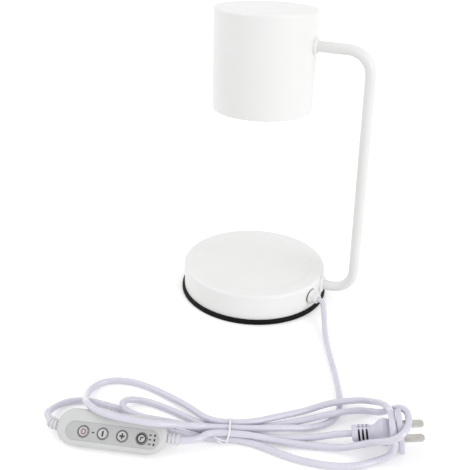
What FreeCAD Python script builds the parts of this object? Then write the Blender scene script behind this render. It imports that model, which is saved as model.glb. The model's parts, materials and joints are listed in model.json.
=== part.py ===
import FreeCAD, Part
import math
import os

# Candle warmer lamp: a round weighted base, a bent tube arm, an open-bottomed shade
# with a reflector bulb, and a mains cord with an in-line controller and a two-pin plug.
# All lengths are millimetres.  +Z is up and the base stands on z = 0 around the origin.

V = FreeCAD.Vector
X_AXIS = V(1, 0, 0)
Y_AXIS = V(0, 1, 0)
Z_AXIS = V(0, 0, 1)

# --- base -----------------------------------------------------------------
BASE_RADIUS = 68.0
BASE_TOP = 28.5
BASE_WALL = 1.2
BASE_EDGE_RADIUS = 2.8
BASE_BOTTOM = 1.6
DISH_INSET = 12.0
DISH_RADIUS = BASE_RADIUS - DISH_INSET
DISH_DEPTH = 0.8
DISH_SLOPE = 1.6
RING_PROUD = 2.5
RING_RADIUS = BASE_RADIUS + RING_PROUD
RING_HEIGHT = 4.5
RING_GRIP = 1.6
RING_INNER_RADIUS = BASE_RADIUS - BASE_WALL - RING_GRIP
RING_INNER_HEIGHT = 4.0
RING_BEAD_HEIGHT = 2.6
RING_GROOVE = 0.3
RING_EDGE = 0.8
PLATE_GAP = 0.1
PLATE_RADIUS = RING_INNER_RADIUS - PLATE_GAP
PLATE_UNDERSIDE = 1.2
PLATE_THICKNESS = 1.4
WEIGHT_SIDE_GAP = 6.8
WEIGHT_RADIUS = BASE_RADIUS - BASE_WALL - WEIGHT_SIDE_GAP
WEIGHT_TOP_GAP = 4.5
WEIGHT_TOP = BASE_TOP - DISH_DEPTH - BASE_WALL - WEIGHT_TOP_GAP
WEIGHT_EDGE = 1.5
WEIGHT_FOOT_GAP = 0.05
POCKET_DEPTH = 24.0
POCKET_INNER_X = WEIGHT_RADIUS - POCKET_DEPTH
POCKET_FRONT_Y = -38.0
POCKET_REAR_Y = 16.0
POCKET_FLOOR = 3.0
POST_RADIUS = 4.0
POST_INSET = 23.0
POST_CIRCLE = BASE_RADIUS - POST_INSET
POST_AZIMUTHS = (60.0, 180.0, 300.0)
POST_GAP = 0.5
SCREW_RADIUS = 1.5
SCREW_LENGTH = 9.0
SCREW_HEAD_RADIUS = 2.9
SCREW_HEAD_HEIGHT = 0.9
SCREW_SOCKET_RADIUS = 1.2
SCREW_SOCKET_DEPTH = 0.5

# --- shade ----------------------------------------------------------------
SHADE_RADIUS = 43.5
SHADE_WALL = 1.0
SHADE_BOTTOM = 180.5
SHADE_HEIGHT = 84.0
SHADE_TOP = SHADE_BOTTOM + SHADE_HEIGHT
SHADE_EDGE_RADIUS = 2.2
SHADE_LIP = 0.9

# --- arm ------------------------------------------------------------------
ARM_RADIUS = 4.5
ARM_WALL = 1.2
ARM_BORE_RADIUS = ARM_RADIUS - ARM_WALL
ARM_SINK = 9.0
ARM_LOWER_Z = BASE_TOP - ARM_SINK
ARM_DROP = 27.0
ARM_UPPER_Z = SHADE_TOP - ARM_DROP
ARM_REACH = 30.0
ARM_LOWER_X = BASE_RADIUS + ARM_REACH
ARM_LEAN = 7.0
ARM_UPPER_X = ARM_LOWER_X - ARM_LEAN
ARM_BEND_RADIUS = 20.0
NIPPLE_COVER = 0.5
NIPPLE_RADIUS = ARM_RADIUS - NIPPLE_COVER
NIPPLE_WALL = 1.6
NIPPLE_BORE_RADIUS = NIPPLE_RADIUS - NIPPLE_WALL
NIPPLE_LENGTH = 14.0
NIPPLE_IN_ARM = 4.0
NUT_WALL = 2.9
NUT_RADIUS = NIPPLE_RADIUS + NUT_WALL
NUT_THICKNESS = 3.5
NUT_CHAMFER = 0.5
WASHER_WIDTH = 2.6
WASHER_RADIUS = NIPPLE_RADIUS + WASHER_WIDTH
WASHER_THICKNESS = 0.8
WASHER_TOOTH_COUNT = 12
WASHER_TOOTH_DEPTH = 0.7
LOWER_COLLAR_STEP = 3.5
LOWER_COLLAR_RADIUS = ARM_RADIUS + LOWER_COLLAR_STEP
UPPER_COLLAR_STEP = 2.25
UPPER_COLLAR_RADIUS = ARM_RADIUS + UPPER_COLLAR_STEP
COLLAR_LAP = 2.0
COLLAR_THICKNESS = 2.4
COLLAR_CHAMFER = 0.7

# --- strap that hangs the lamp holder ---------------------------------------
STRAP_WIDTH = 14.0
STRAP_THICKNESS = 1.2
STRAP_DROP = 8.1
STRAP_TOP = SHADE_TOP - STRAP_DROP
STRAP_TAIL = 8.5
STRAP_BOTTOM = ARM_UPPER_Z - STRAP_TAIL
STRAP_BEND = 2.0
STRAP_OVERHANG = 0.5

# --- lamp holder and bulb -------------------------------------------------
BULB_GAP = 0.2
PIN_CIRCLE = 5.0
PIN_NECK_RADIUS = 1.5
PIN_HEAD_RADIUS = 2.5
PIN_HEAD_HEIGHT = 2.4
PIN_HEAD_CHAMFER = 0.8
PIN_LENGTH = 7.0
PIN_ROOT = 4.0
PIN_CLEARANCE = 0.3
PIN_SEAT_GAP = 0.1
PIN_TOP_GAP = 1.9
KEY_SWEEP = 20.0
HOLDER_RADIUS = 14.5
HOLDER_HEIGHT = 16.4
HOLDER_TOP = STRAP_TOP - STRAP_THICKNESS
HOLDER_BOTTOM = HOLDER_TOP - HOLDER_HEIGHT
HOLDER_FLOOR = PIN_LENGTH - PIN_HEAD_HEIGHT - BULB_GAP - PIN_SEAT_GAP
HOLDER_CAVITY_TOP = HOLDER_BOTTOM + HOLDER_FLOOR + PIN_HEAD_HEIGHT + PIN_TOP_GAP
CAVITY_HUB = 0.6
CAVITY_SIDE_GAP = 1.1
CAVITY_INNER_RADIUS = PIN_CIRCLE - PIN_HEAD_RADIUS - PIN_CLEARANCE - CAVITY_HUB
CAVITY_OUTER_RADIUS = PIN_CIRCLE + PIN_HEAD_RADIUS + CAVITY_SIDE_GAP
HOLDER_EDGE = 1.0
HOLDER_WAIST_INSET = 1.3
HOLDER_SKIRT_HEIGHT = 6.0
HOLDER_WAIST_HEIGHT = 5.0
HOLDER_SCREW_INSET = 3.6
HOLDER_SCREW_RADIUS = 1.5
HOLDER_SCREW_HEAD_RADIUS = 2.8
HOLDER_SCREW_HEAD_HEIGHT = 1.7
HOLDER_SCREW_DEPTH = 6.0
HOLDER_SCREW_SPARE = 0.6
HOLDER_SCREW_SLOT = 0.8
HOLDER_SCREW_SLOT_DEPTH = 0.7
HOLDER_SCREW_X = HOLDER_RADIUS - HOLDER_SCREW_INSET
BULB_LENGTH = 47.0
BULB_TOP = HOLDER_BOTTOM - BULB_GAP
BULB_FACE = BULB_TOP - BULB_LENGTH
BULB_RADIUS = 25.0
BULB_RIM_HEIGHT = 3.0
BULB_RIM_STEP = 1.0
BULB_NECK_LENGTH = 5.0
BOWL_BULGE = 5.2
BOWL_STEPS = 6
BULB_WALL = 1.4
BULB_NECK_RADIUS = 9.2
BULB_NECK_DROP = 14.6
BULB_NECK_Z = BULB_TOP - BULB_NECK_DROP
BULB_BASE_WALL = 1.2
BULB_BASE_RADIUS = BULB_NECK_RADIUS + BULB_BASE_WALL
BULB_BASE_CHAMFER = 1.2
BULB_BASE_LIFT = 1.0
BULB_FLAT_DEPTH = 1.4
BULB_FLAT_HEIGHT = 8.0
LENS_INSET = 1.7
LENS_RADIUS = BULB_RADIUS - LENS_INSET
LENS_THICKNESS = 2.2
LENS_EDGE = 0.3
CAPSULE_RADIUS = 4.6
CAPSULE_REACH = 21.0
CAPSULE_BOTTOM = BULB_NECK_Z - CAPSULE_REACH
CAPSULE_STEM_RADIUS = 3.4
CAPSULE_PINCH = 3.0
LEAD_RADIUS = 0.9
LEAD_GAP = 0.2
LEAD_SPACING = 3.2
LEAD_INSERT = 4.0
LEAD_STRAIGHT = 5.0
LEAD_SLACK = 2.5
LEAD_DROP = 4.7
LEAD_TOP_Z = HOLDER_TOP - LEAD_DROP
LEAD_HOLE_DEPTH = 2.7
LEAD_END_X = HOLDER_RADIUS - HOLDER_WAIST_INSET - LEAD_HOLE_DEPTH

# --- cord entry in the base ----------------------------------------------
CORD_RADIUS = 2.4
GLAND_AZIMUTH = -17.53
GLAND_SINK = 12.0
GLAND_Z = BASE_TOP - GLAND_SINK
GLAND_REACH = 8.03
GLAND_NOSE = BASE_RADIUS + GLAND_REACH
GLAND_FLANGE_WIDTH = 4.6
GLAND_FLANGE_RADIUS = CORD_RADIUS + GLAND_FLANGE_WIDTH
GLAND_FLANGE = 1.8
GLAND_LAP = 1.5
GLAND_NOSE_WALL = 1.7
GLAND_NOSE_RADIUS = CORD_RADIUS + GLAND_NOSE_WALL
GLAND_SHANK_WALL = 2.6
GLAND_SHANK_RADIUS = CORD_RADIUS + GLAND_SHANK_WALL
GLAND_SHANK_LENGTH = 10.0
GLAND_SHANK_END = BASE_RADIUS - GLAND_SHANK_LENGTH
GLAND_NUT_WALL = 2.4
GLAND_NUT_RADIUS = GLAND_SHANK_RADIUS + GLAND_NUT_WALL
GLAND_NUT_THICKNESS = 3.0
CORD_TAIL = 4.0
CORD_TAIL_END = GLAND_SHANK_END - CORD_TAIL

# --- in-line controller, in its own frame: x along it, z out of its panel ---
CONTROL_CENTRE = V(-9.2, -242.7, 11.54)
CONTROL_YAW = 15.0
CONTROL_ROLL = 38.0
CONTROL_LENGTH = 78.0
CONTROL_WIDTH = 25.0
CAP_SHOULDER = 2.9
BELLY_SHOULDER = 10.0
CONTROL_WALL = 1.5
PEBBLE_STEPS = 8
PANEL_LEFT_MARGIN = 7.6
PANEL_RIGHT_MARGIN = 4.7
PANEL_LEFT = PANEL_LEFT_MARGIN - CONTROL_LENGTH / 2
PANEL_RIGHT = CONTROL_LENGTH / 2 - PANEL_RIGHT_MARGIN
PANEL_WIDTH = 12.8
PANEL_FRONT_MARGIN = 3.1
PANEL_OFFSET = PANEL_FRONT_MARGIN + PANEL_WIDTH / 2 - CONTROL_WIDTH / 2
PANEL_THICKNESS = 0.6
PANEL_SINK = 0.2
PANEL_EDGE_GAP = 0.08
BUTTON_MARGIN = 12.44
LIGHTS_MARGIN = 12.16
BUTTON_PITCH = (PANEL_RIGHT - PANEL_LEFT - BUTTON_MARGIN - LIGHTS_MARGIN) / 3
BUTTON_X = [PANEL_LEFT + BUTTON_MARGIN + BUTTON_PITCH * i for i in range(4)]
BUTTON_RADIUS = 3.7
BUTTON_EDGE = 0.12
BUTTON_RIM = 1.4
BUTTON_GAP = 0.28
BUTTON_STAND = 0.5
BUTTON_FLANGE_WIDTH = 1.0
BUTTON_FLANGE = 0.7
BUTTON_FLANGE_GAP = 0.04
BUTTON_STEM_RADIUS = 1.5
BUTTON_DISH_DEPTH = 0.25
BUTTON_SWITCH_GAP = 0.5
BOARD_END_GAP = 8.0
BOARD_LENGTH = CONTROL_LENGTH - 2 * BOARD_END_GAP
BOARD_SIDE_GAP = 4.0
BOARD_WIDTH = CONTROL_WIDTH - 2 * BOARD_SIDE_GAP
BOARD_THICKNESS = 1.2
BOARD_TOP = -2.6
BOARD_POST_INSET = 1.8
BOARD_POST_OUTSET = 0.6
BOARD_POST_X = (BOARD_POST_INSET - BOARD_LENGTH / 2, BOARD_LENGTH / 2 - BOARD_POST_OUTSET)
BOARD_CORNER = 4.0
BOARD_POST_RADIUS = 2.4
SWITCH_SIDE = 5.2
SWITCH_HEIGHT = 1.6
SWITCH_PLUNGER_RADIUS = 1.5
SWITCH_PLUNGER_HEIGHT = 0.7
LED_MARGIN = 5.7
LED_COLUMN = 3.1
LED_PITCH = 3.0
LED_X = (BUTTON_X[3] + LED_MARGIN, BUTTON_X[3] + LED_MARGIN + LED_COLUMN)
POWER_LED_X = (BUTTON_X[0] + BUTTON_X[1]) / 2
LED_RADIUS = 0.55
HOUSING_SCREW_INSET = 17.0
HOUSING_SCREW_X = (HOUSING_SCREW_INSET - CONTROL_LENGTH / 2, CONTROL_LENGTH / 2 - HOUSING_SCREW_INSET)
HOUSING_SCREW_RADIUS = 1.1
HOUSING_SCREW_HEAD_RADIUS = 2.1
HOUSING_SCREW_HEAD = 1.2
HOUSING_SCREW_GAP = 0.1
HOUSING_SCREW_SINK = 1.2
HOUSING_BOSS_RADIUS = 2.7
RELIEF_DROP = 2.8
RELIEF_NECK_RADIUS = CORD_RADIUS + 0.1
RELIEF_CORE_RADIUS = CORD_RADIUS + 0.7
RELIEF_RIB_RADIUS = CORD_RADIUS + 1.4
RELIEF_RIB_WIDTH = 1.4
RELIEF_RIB_SHARES = (0.18, 0.5, 0.82)
RELIEF_GAP = 0.2
RELIEF_FLANGE_RADIUS = CORD_RADIUS + 0.8
RELIEF_FLANGE = 1.2
RELIEF_FLANGE_INSET = 4.2
RELIEF_LENGTH = 8.5
RELIEF_BENT_LENGTH = 7.5
RELIEF_BEND = 45.0

# --- plug, in its own frame: x from the cord's entry to the blades, z up its flange ---
PLUG_TAIL = V(142.5, -173.4, 10.1)
PLUG_YAW = 15.0
PLUG_PITCH = 12.0
GRIP_RADIUS = 5.8
GRIP_LENGTH = 12.0
GRIP_EDGE = 0.6
GRIP_CORE_RADIUS = 3.4
GRIP_SLOT = 1.5
GRIP_SLOT_PITCH = 2.7
GRIP_FIRST_SLOT = 5.0
GRIP_SPINE = 3.6
GRIP_SLOT_RISE = 0.8
GRIP_DOT_WIDTH = 1.8
GRIP_DOT_DEPTH = 1.2
PLUG_SHAPE = ((0.0, 5.4, 5.5), (0.17, 5.2, 5.6), (0.32, 6.9, 8.4), (0.48, 7.9, 10.6), (0.63, 7.7, 10.2),
              (0.81, 6.7, 8.2), (1.0, 6.2, 8.6))
PLUG_SECTIONS = 12
PLUG_LAP = 0.4
FLANGE_START = 31.0
FLANGE_THICKNESS = 3.8
FLANGE_HEIGHT = 34.0
FLANGE_WIDTH = 20.0
FLANGE_EDGE = 1.1
BLADE_SPACING = 12.7
BLADE_WIDTH = 6.35
BLADE_THICKNESS = 1.5
BLADE_LENGTH = 14.0
BLADE_ROOT = 7.0
BLADE_BEVEL = 1.8

# --- cord routes ----------------------------------------------------------
CORD_LEAD_OUT = 5.0
FLOOR = 2.5
TIE_LOW = 3.3
TIE_HIGH = 8.4
TIE_CENTRE = V(61.0, -203.0, 5.85)
TIE_YAW = 21.0
TIE_BAND_WIDTH = 1.5
TIE_BAND_THICKNESS = 0.6
TIE_BUNDLE_WIDTH = 15.9
TIE_BUNDLE_HEIGHT = 10.1
TIE_TAIL_RADIUS = 0.45
TIE_TAIL_SPACING = 1.8
TIE_TAIL_SINK = 0.25
TIE_TAIL_ROOT = V(-1.6, -0.9, -0.1)
TIE_TAIL_RUN = V(-8.2, -2.3, -2.4)
BEND_SHARE = 0.45

# --- finish ---------------------------------------------------------------
EASE_STEPS = 5


def placed(shape, origin, yaw=0.0, pitch=0.0, roll=0.0):
    """The shape moved from its own frame into the lamp's frame."""
    out = shape.copy()
    out.Placement = FreeCAD.Placement(origin, FreeCAD.Rotation(yaw, pitch, roll)).multiply(out.Placement)
    return out


def plug_point(x, y, z):
    """A point given in the plug's own frame."""
    return PLUG_TAIL + FreeCAD.Rotation(PLUG_YAW, -PLUG_PITCH, 0).multVec(V(x, y, z))


def relief_axis_centre():
    """Middle of the line on which both cord reliefs leave the controller."""
    rolled = FreeCAD.Rotation(CONTROL_YAW, 0, CONTROL_ROLL)
    return CONTROL_CENTRE + rolled.multVec(V(0, 0, -RELIEF_DROP))


def control_point(x, y, z):
    """A point given in the level frame of the controller's cord reliefs."""
    return relief_axis_centre() + FreeCAD.Rotation(CONTROL_YAW, 0, 0).multVec(V(x, y, z))


def gland_point(radius):
    """A point on the cord entry's radial line."""
    turn = math.radians(GLAND_AZIMUTH)
    return V(radius * math.cos(turn), radius * math.sin(turn), GLAND_Z)


def relief_arc():
    """Forward reach, side reach and unit end direction of the bent cord relief."""
    bend = math.radians(RELIEF_BEND)
    radius = RELIEF_BENT_LENGTH / bend
    reach = radius * math.sin(bend)
    side = radius * (1 - math.cos(bend))
    return radius, reach, side, V(-math.cos(bend), math.sin(bend), 0)


def lamp_cord_points():
    """Control points of the cord from the base to the controller's left end."""
    _, reach, side, run = relief_arc()
    tip = V(-CONTROL_LENGTH / 2 - reach, side, 0)
    before_tip = tip + run * CORD_LEAD_OUT
    return [
        gland_point(GLAND_NOSE), gland_point(GLAND_NOSE + CORD_LEAD_OUT), V(80.5, -31, 12.5), V(82, -42, 6.5),
        V(86.5, -57, 2.7), V(98, -79, FLOOR), V(111, -102, FLOOR), V(121, -125, FLOOR),
        V(127.5, -146, FLOOR), V(124.5, -160.5, FLOOR), V(113, -173, 2.8), V(95, -184.5, 6.0),
        V(74, -198, TIE_HIGH), V(48, -208, TIE_HIGH),
        V(39, -216, 12.5), V(30, -227, 19.5), V(19, -235.5, 23), V(5, -239.5, 24),
        V(-10, -241.8, 24), V(-24, -242, 24.5), V(-36.5, -235.5, 21), V(-46, -226, 13),
        V(-53, -214.5, 6.5), V(-57, -204, 3), V(-54, -193, FLOOR), V(-42, -185, FLOOR),
        V(-22, -181, FLOOR), V(2, -184.5, FLOOR), V(24, -191, 4.5),
        V(46.1, -203, TIE_HIGH), V(72.1, -193, TIE_HIGH),
        V(88, -175.5, 6.2), V(103, -160, 4.2), V(119, -147.5, 8.4), V(131, -139.5, 8.4),
        V(139, -131.5, 6), V(147, -130, 6.5), V(154, -136.5, 13), V(159.5, -146, 20),
        plug_point(27.9, 10.5, 9.5), plug_point(28.2, 3, 13.8), plug_point(28.2, -5, 13.3),
        plug_point(28.2, -10.8, 8), plug_point(28, -12.5, -1), plug_point(26, -13.5, -8),
        V(163, -184.5, 3), V(152, -194.5, FLOOR), V(136, -202, FLOOR), V(108, -206.5, FLOOR),
        V(75.9, -203, TIE_LOW), V(49.9, -213, TIE_LOW),
        V(30, -217.5, FLOOR), V(5, -214.5, FLOOR), V(-20, -212.6, FLOOR), V(-38, -213.5, FLOOR),
        V(-52, -216.5, FLOOR), V(-61, -221, FLOOR), V(-65.7, -228, 3), V(-65.7, -236.5, 5.5),
        V(-62.7, -244, 9), control_point(*before_tip), control_point(*tip)]


def mains_cord_points():
    """Control points of the cord from the controller's right end to the plug."""
    tip = CONTROL_LENGTH / 2 + RELIEF_LENGTH
    return [
        control_point(tip, 0, 0), control_point(tip + CORD_LEAD_OUT, 0, 0), V(48.5, -221, 9.2),
        V(49.9, -213, TIE_HIGH), V(75.9, -203, TIE_HIGH),
        V(98, -196.5, 4.4), V(122, -188, FLOOR), V(141, -183.5, 4.5),
        plug_point(10, -10.5, 0.5), plug_point(18, -13.3, 3.5), plug_point(27.3, -16.6, 7.4),
        plug_point(33.8, -14.6, 9.9), plug_point(38.4, -8, 11.3), plug_point(39.6, 0, 11.8),
        plug_point(38.4, 8, 11.5), plug_point(33.6, 14, 9.5),
        V(163, -144, 15.5), V(156, -139.5, 6.5), V(148, -138.5, 4), V(140.5, -142, 5),
        V(131, -152.5, 8.4), V(119.5, -161.5, 8.2), V(105, -170, 4.5), V(90, -180, 2.8),
        V(72.1, -193, TIE_LOW), V(46.1, -203, TIE_LOW),
        V(28, -200.5, FLOOR), V(12, -197.8, FLOOR), V(-4, -196.8, FLOOR), V(-15, -198.8, 3),
        V(-21, -205, 5.6), V(-20.5, -212.5, 8), V(-12.5, -218.5, 8.2), V(2, -219, 8.2),
        V(16, -215.5, 8.2), V(31, -211, 5.5),
        V(48, -208, TIE_LOW), V(74, -198, TIE_LOW),
        V(98, -191.5, FLOOR), V(118, -181.5, 3.4), plug_point(-10, 0, 0), plug_point(0, 0, 0)]


# --- shared building functions ---------------------------------------------
def disc(radius, height, base=V(0, 0, 0), axis=Z_AXIS):
    return Part.makeCylinder(radius, height, base, axis)


def box(x0, x1, y0, y1, z0, z1):
    return Part.makeBox(x1 - x0, y1 - y0, z1 - z0, V(x0, y0, z0))


def polygon_wire(points):
    return Part.makePolygon(points + [points[0]])


def arc(centre_r, centre_h, radius, start, end):
    """An arc of an outline, from the start angle to the end angle, in degrees."""
    def at(angle):
        a = math.radians(angle)
        return centre_r + radius * math.cos(a), centre_h + radius * math.sin(a)
    return at(start), at((start + end) / 2), at(end)


def eased(centre_r, centre_h, radius, start, end, steps=EASE_STEPS):
    """Corners of a rounded edge of an outline, laid out in short straight steps."""
    angles = [math.radians(start + (end - start) * i / steps) for i in range(steps + 1)]
    return [(centre_r + radius * math.cos(a), centre_h + radius * math.sin(a)) for a in angles]


def outline_face(items, place):
    """Face inside a closed outline of (u, v) corners and arcs, set in space by place(u, v)."""
    edges = []
    first = items[0] if len(items[0]) == 2 else items[0][0]
    last = None
    for item in items + [first]:
        start = item if len(item) == 2 else item[0]
        if last is not None and place(*last).distanceToPoint(place(*start)) > 1e-6:
            edges.append(Part.makeLine(place(*last), place(*start)))
        if len(item) == 3:
            edges.append(Part.Arc(*[place(*p) for p in item]).toShape())
        last = item if len(item) == 2 else item[2]
    return Part.Face(Part.Wire(edges))


def turned(items, axis=Z_AXIS):
    """Solid of revolution of an outline of (radius, height) corners and arcs."""
    def about_z(r, h):
        return V(r, 0, h)

    def about_x(r, h):
        return V(h, 0, r)
    face = outline_face(items, about_z if axis == Z_AXIS else about_x)
    return face.revolve(V(0, 0, 0), axis, 360)


def rounded_path(points, radius_of):
    """A wire of straight runs joined by tangent arcs, and the least arc radius in it."""
    edges = []
    radii = []
    last = points[0]
    for i in range(1, len(points) - 1):
        before, corner, after = points[i - 1], points[i], points[i + 1]
        run_in = corner - before
        run_out = after - corner
        turn = run_in.getAngle(run_out)
        radius = radius_of(run_in.Length, run_out.Length, turn)
        setback = radius * math.tan(turn / 2)
        side_in = V(run_in).normalize()
        side_out = V(run_out).normalize()
        start = corner - side_in * setback
        end = corner + side_out * setback
        bisector = (side_out - side_in).normalize()
        centre = corner + bisector * (radius / math.cos(turn / 2))
        middle = centre - bisector * radius
        edges.append(Part.LineSegment(last, start).toShape())
        edges.append(Part.Arc(start, middle, end).toShape())
        radii.append(radius)
        last = end
    edges.append(Part.LineSegment(last, points[-1]).toShape())
    return Part.Wire(edges), radii


def cord_radius(run_in, run_out, turn):
    return BEND_SHARE * min(run_in, run_out) / math.tan(turn / 2)


def tube_along(path, radius):
    """Round bar of the given radius along a wire."""
    edge = path.Edges[0]
    start = edge.valueAt(edge.FirstParameter)
    run = edge.tangentAt(edge.FirstParameter)
    ring = Part.Wire([Part.Circle(start, run, radius).toShape()])
    return path.makePipeShell([ring], True, False)


def hexagon(radius, thickness, chamfer):
    """Hexagon nut blank along +X with chamfered outer corners."""
    corners = [V(0, radius * math.cos(math.radians(60 * i)), radius * math.sin(math.radians(60 * i)))
               for i in range(6)]
    prism = Part.Face(polygon_wire(corners)).extrude(V(thickness, 0, 0))
    cone = turned([(0, 0), (radius - chamfer, 0), (radius, chamfer), (radius, thickness - chamfer),
                   (radius - chamfer, thickness), (0, thickness)], X_AXIS)
    return prism.common(cone)


def nipple_hole(wall_radius, z):
    """Cutter for a nipple's hole through a round wall, along +X."""
    return disc(NIPPLE_RADIUS, NIPPLE_LENGTH, V(wall_radius - NIPPLE_LENGTH / 2, 0, z), X_AXIS)


# --- base -----------------------------------------------------------------
def base_shell():
    """Drawn steel cup, open below, with a shallow dish in its top."""
    r, w, e = BASE_RADIUS, BASE_WALL, BASE_EDGE_RADIUS
    dish_edge = DISH_RADIUS - DISH_SLOPE
    dish_top = BASE_TOP - DISH_DEPTH
    outline = [(r, BASE_BOTTOM)] + eased(r - e, BASE_TOP - e, e, 0, 90)
    outline += [(DISH_RADIUS, BASE_TOP), (dish_edge, dish_top), (0, dish_top), (0, dish_top - w),
                (dish_edge - w / 2, dish_top - w), (DISH_RADIUS - w / 2, BASE_TOP - w)]
    outline += eased(r - e, BASE_TOP - e, e - w, 90, 0) + [(r - w, BASE_BOTTOM)]
    shell = turned(outline)
    shell = shell.cut(nipple_hole(r, ARM_LOWER_Z))
    return shell.cut(gland_placed(disc(GLAND_SHANK_RADIUS, GLAND_NOSE - GLAND_SHANK_END,
                                       V(GLAND_SHANK_END, 0, 0), X_AXIS)))


def foot_ring():
    """Rubber channel that grips the shell's lower edge and is the lamp's foot."""
    r, bead, g, edge = RING_RADIUS, RING_BEAD_HEIGHT, RING_GROOVE, RING_EDGE
    inner = BASE_RADIUS - BASE_WALL
    outline = [(RING_INNER_RADIUS + edge / 2, 0), (r - edge, 0), (r, edge), (r, bead - g), (r - g, bead),
               (r - g / 2, bead + g), (r - g, RING_HEIGHT - edge), (r - edge - g, RING_HEIGHT),
               (BASE_RADIUS, RING_HEIGHT), (BASE_RADIUS, BASE_BOTTOM), (inner, BASE_BOTTOM),
               (inner, RING_INNER_HEIGHT), (RING_INNER_RADIUS, RING_INNER_HEIGHT),
               (RING_INNER_RADIUS, edge / 2)]
    return turned(outline)


def post_centres():
    return [V(POST_CIRCLE * math.cos(math.radians(a)), POST_CIRCLE * math.sin(math.radians(a)), 0)
            for a in POST_AZIMUTHS]


def base_plate():
    plate = disc(PLATE_RADIUS, PLATE_THICKNESS, V(0, 0, PLATE_UNDERSIDE))
    for c in post_centres():
        plate = plate.cut(disc(SCREW_RADIUS, PLATE_THICKNESS, c + V(0, 0, PLATE_UNDERSIDE)))
    return plate


def base_weight():
    low = PLATE_UNDERSIDE + PLATE_THICKNESS + WEIGHT_FOOT_GAP
    e = WEIGHT_EDGE
    r, top = WEIGHT_RADIUS, WEIGHT_TOP
    weight = turned([(0, low), (r - e, low), (r, low + e), (r, top - e), (r - e, top), (0, top)])
    weight = weight.cut(box(POCKET_INNER_X, r + e, POCKET_FRONT_Y, POCKET_REAR_Y, low + POCKET_FLOOR, top))
    for c in post_centres():
        weight = weight.cut(disc(POST_RADIUS + POST_GAP, BASE_TOP, c))
    return weight


def base_posts():
    low = PLATE_UNDERSIDE + PLATE_THICKNESS
    high = BASE_TOP - DISH_DEPTH - BASE_WALL
    posts = []
    for c in post_centres():
        post = disc(POST_RADIUS, high - low, c + V(0, 0, low))
        posts.append(post.cut(disc(SCREW_RADIUS, SCREW_LENGTH + 1, c + V(0, 0, low))))
    return Part.makeCompound(posts)


def base_screws():
    screws = []
    for c in post_centres():
        head_z = PLATE_UNDERSIDE - SCREW_HEAD_HEIGHT
        screw = disc(SCREW_HEAD_RADIUS, SCREW_HEAD_HEIGHT, c + V(0, 0, head_z))
        screw = screw.fuse(disc(SCREW_RADIUS, SCREW_LENGTH, c + V(0, 0, PLATE_UNDERSIDE)))
        screws.append(screw.cut(disc(SCREW_SOCKET_RADIUS, SCREW_SOCKET_DEPTH, c + V(0, 0, head_z))))
    return Part.makeCompound(screws)


# --- arm ------------------------------------------------------------------
def wall_x(radius):
    """Outer end of a nipple's collar seat on a round wall, along +X."""
    return radius + COLLAR_THICKNESS


def arm_points():
    return [V(wall_x(BASE_RADIUS), 0, ARM_LOWER_Z), V(ARM_LOWER_X, 0, ARM_LOWER_Z),
            V(ARM_UPPER_X, 0, ARM_UPPER_Z), V(wall_x(SHADE_RADIUS), 0, ARM_UPPER_Z)]


def arm_tube():
    path, _ = rounded_path(arm_points(), lambda run_in, run_out, turn: ARM_BEND_RADIUS)
    tube = tube_along(path, ARM_RADIUS).cut(tube_along(path, ARM_BORE_RADIUS))
    for start, z in ((wall_x(BASE_RADIUS), ARM_LOWER_Z), (wall_x(SHADE_RADIUS), ARM_UPPER_Z)):
        tube = tube.cut(disc(NIPPLE_RADIUS, NIPPLE_IN_ARM, V(start, 0, z), X_AXIS))
    return tube


def arm_nipples():
    out = []
    for start, z in ((wall_x(BASE_RADIUS), ARM_LOWER_Z), (wall_x(SHADE_RADIUS), ARM_UPPER_Z)):
        low = V(start + NIPPLE_IN_ARM - NIPPLE_LENGTH, 0, z)
        bar = disc(NIPPLE_RADIUS, NIPPLE_LENGTH, low, X_AXIS)
        out.append(bar.cut(disc(NIPPLE_BORE_RADIUS, NIPPLE_LENGTH, low, X_AXIS)))
    return Part.makeCompound(out)


def collar(radius, wall_radius, z):
    """Outer collar of the arm whose inner face is cut to the round wall it sits on."""
    c = COLLAR_CHAMFER
    start = wall_radius - COLLAR_LAP
    end = wall_x(wall_radius)
    body = turned([(NIPPLE_RADIUS, start), (radius, start), (radius, end - c), (radius - c, end),
                   (NIPPLE_RADIUS, end)], X_AXIS)
    body.translate(V(0, 0, z))
    return body.cut(disc(wall_radius, 4 * radius, V(0, 0, z - 2 * radius)))


def arm_washers():
    out = []
    for seat, z in ((washer_seat_base(), ARM_LOWER_Z), (strap_inner_x(), ARM_UPPER_Z)):
        centre = V(seat - WASHER_THICKNESS, 0, z)
        ring = disc(WASHER_RADIUS, WASHER_THICKNESS, centre, X_AXIS)
        for i in range(WASHER_TOOTH_COUNT):
            a = math.radians(360.0 * i / WASHER_TOOTH_COUNT)
            edge = V(0, WASHER_RADIUS * math.cos(a), WASHER_RADIUS * math.sin(a))
            ring = ring.cut(disc(WASHER_TOOTH_DEPTH, WASHER_THICKNESS, centre + edge, X_AXIS))
        out.append(ring.cut(disc(NIPPLE_RADIUS, WASHER_THICKNESS, centre, X_AXIS)))
    return Part.makeCompound(out)


def washer_seat_base():
    """Where a flat washer meets the inside of the base's round wall."""
    inner = BASE_RADIUS - BASE_WALL
    return math.sqrt(inner ** 2 - WASHER_RADIUS ** 2)


def strap_inner_x():
    inner = SHADE_RADIUS - SHADE_WALL
    return math.sqrt(inner ** 2 - (STRAP_WIDTH / 2) ** 2) - STRAP_THICKNESS


def arm_nuts():
    out = []
    for seat, z in ((washer_seat_base(), ARM_LOWER_Z), (strap_inner_x(), ARM_UPPER_Z)):
        start = seat - WASHER_THICKNESS - NUT_THICKNESS
        nut = hexagon(NUT_RADIUS, NUT_THICKNESS, NUT_CHAMFER)
        nut = nut.cut(disc(NIPPLE_RADIUS, NUT_THICKNESS, V(0, 0, 0), X_AXIS))
        nut.translate(V(start, 0, z))
        out.append(nut)
    return Part.makeCompound(out)


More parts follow.
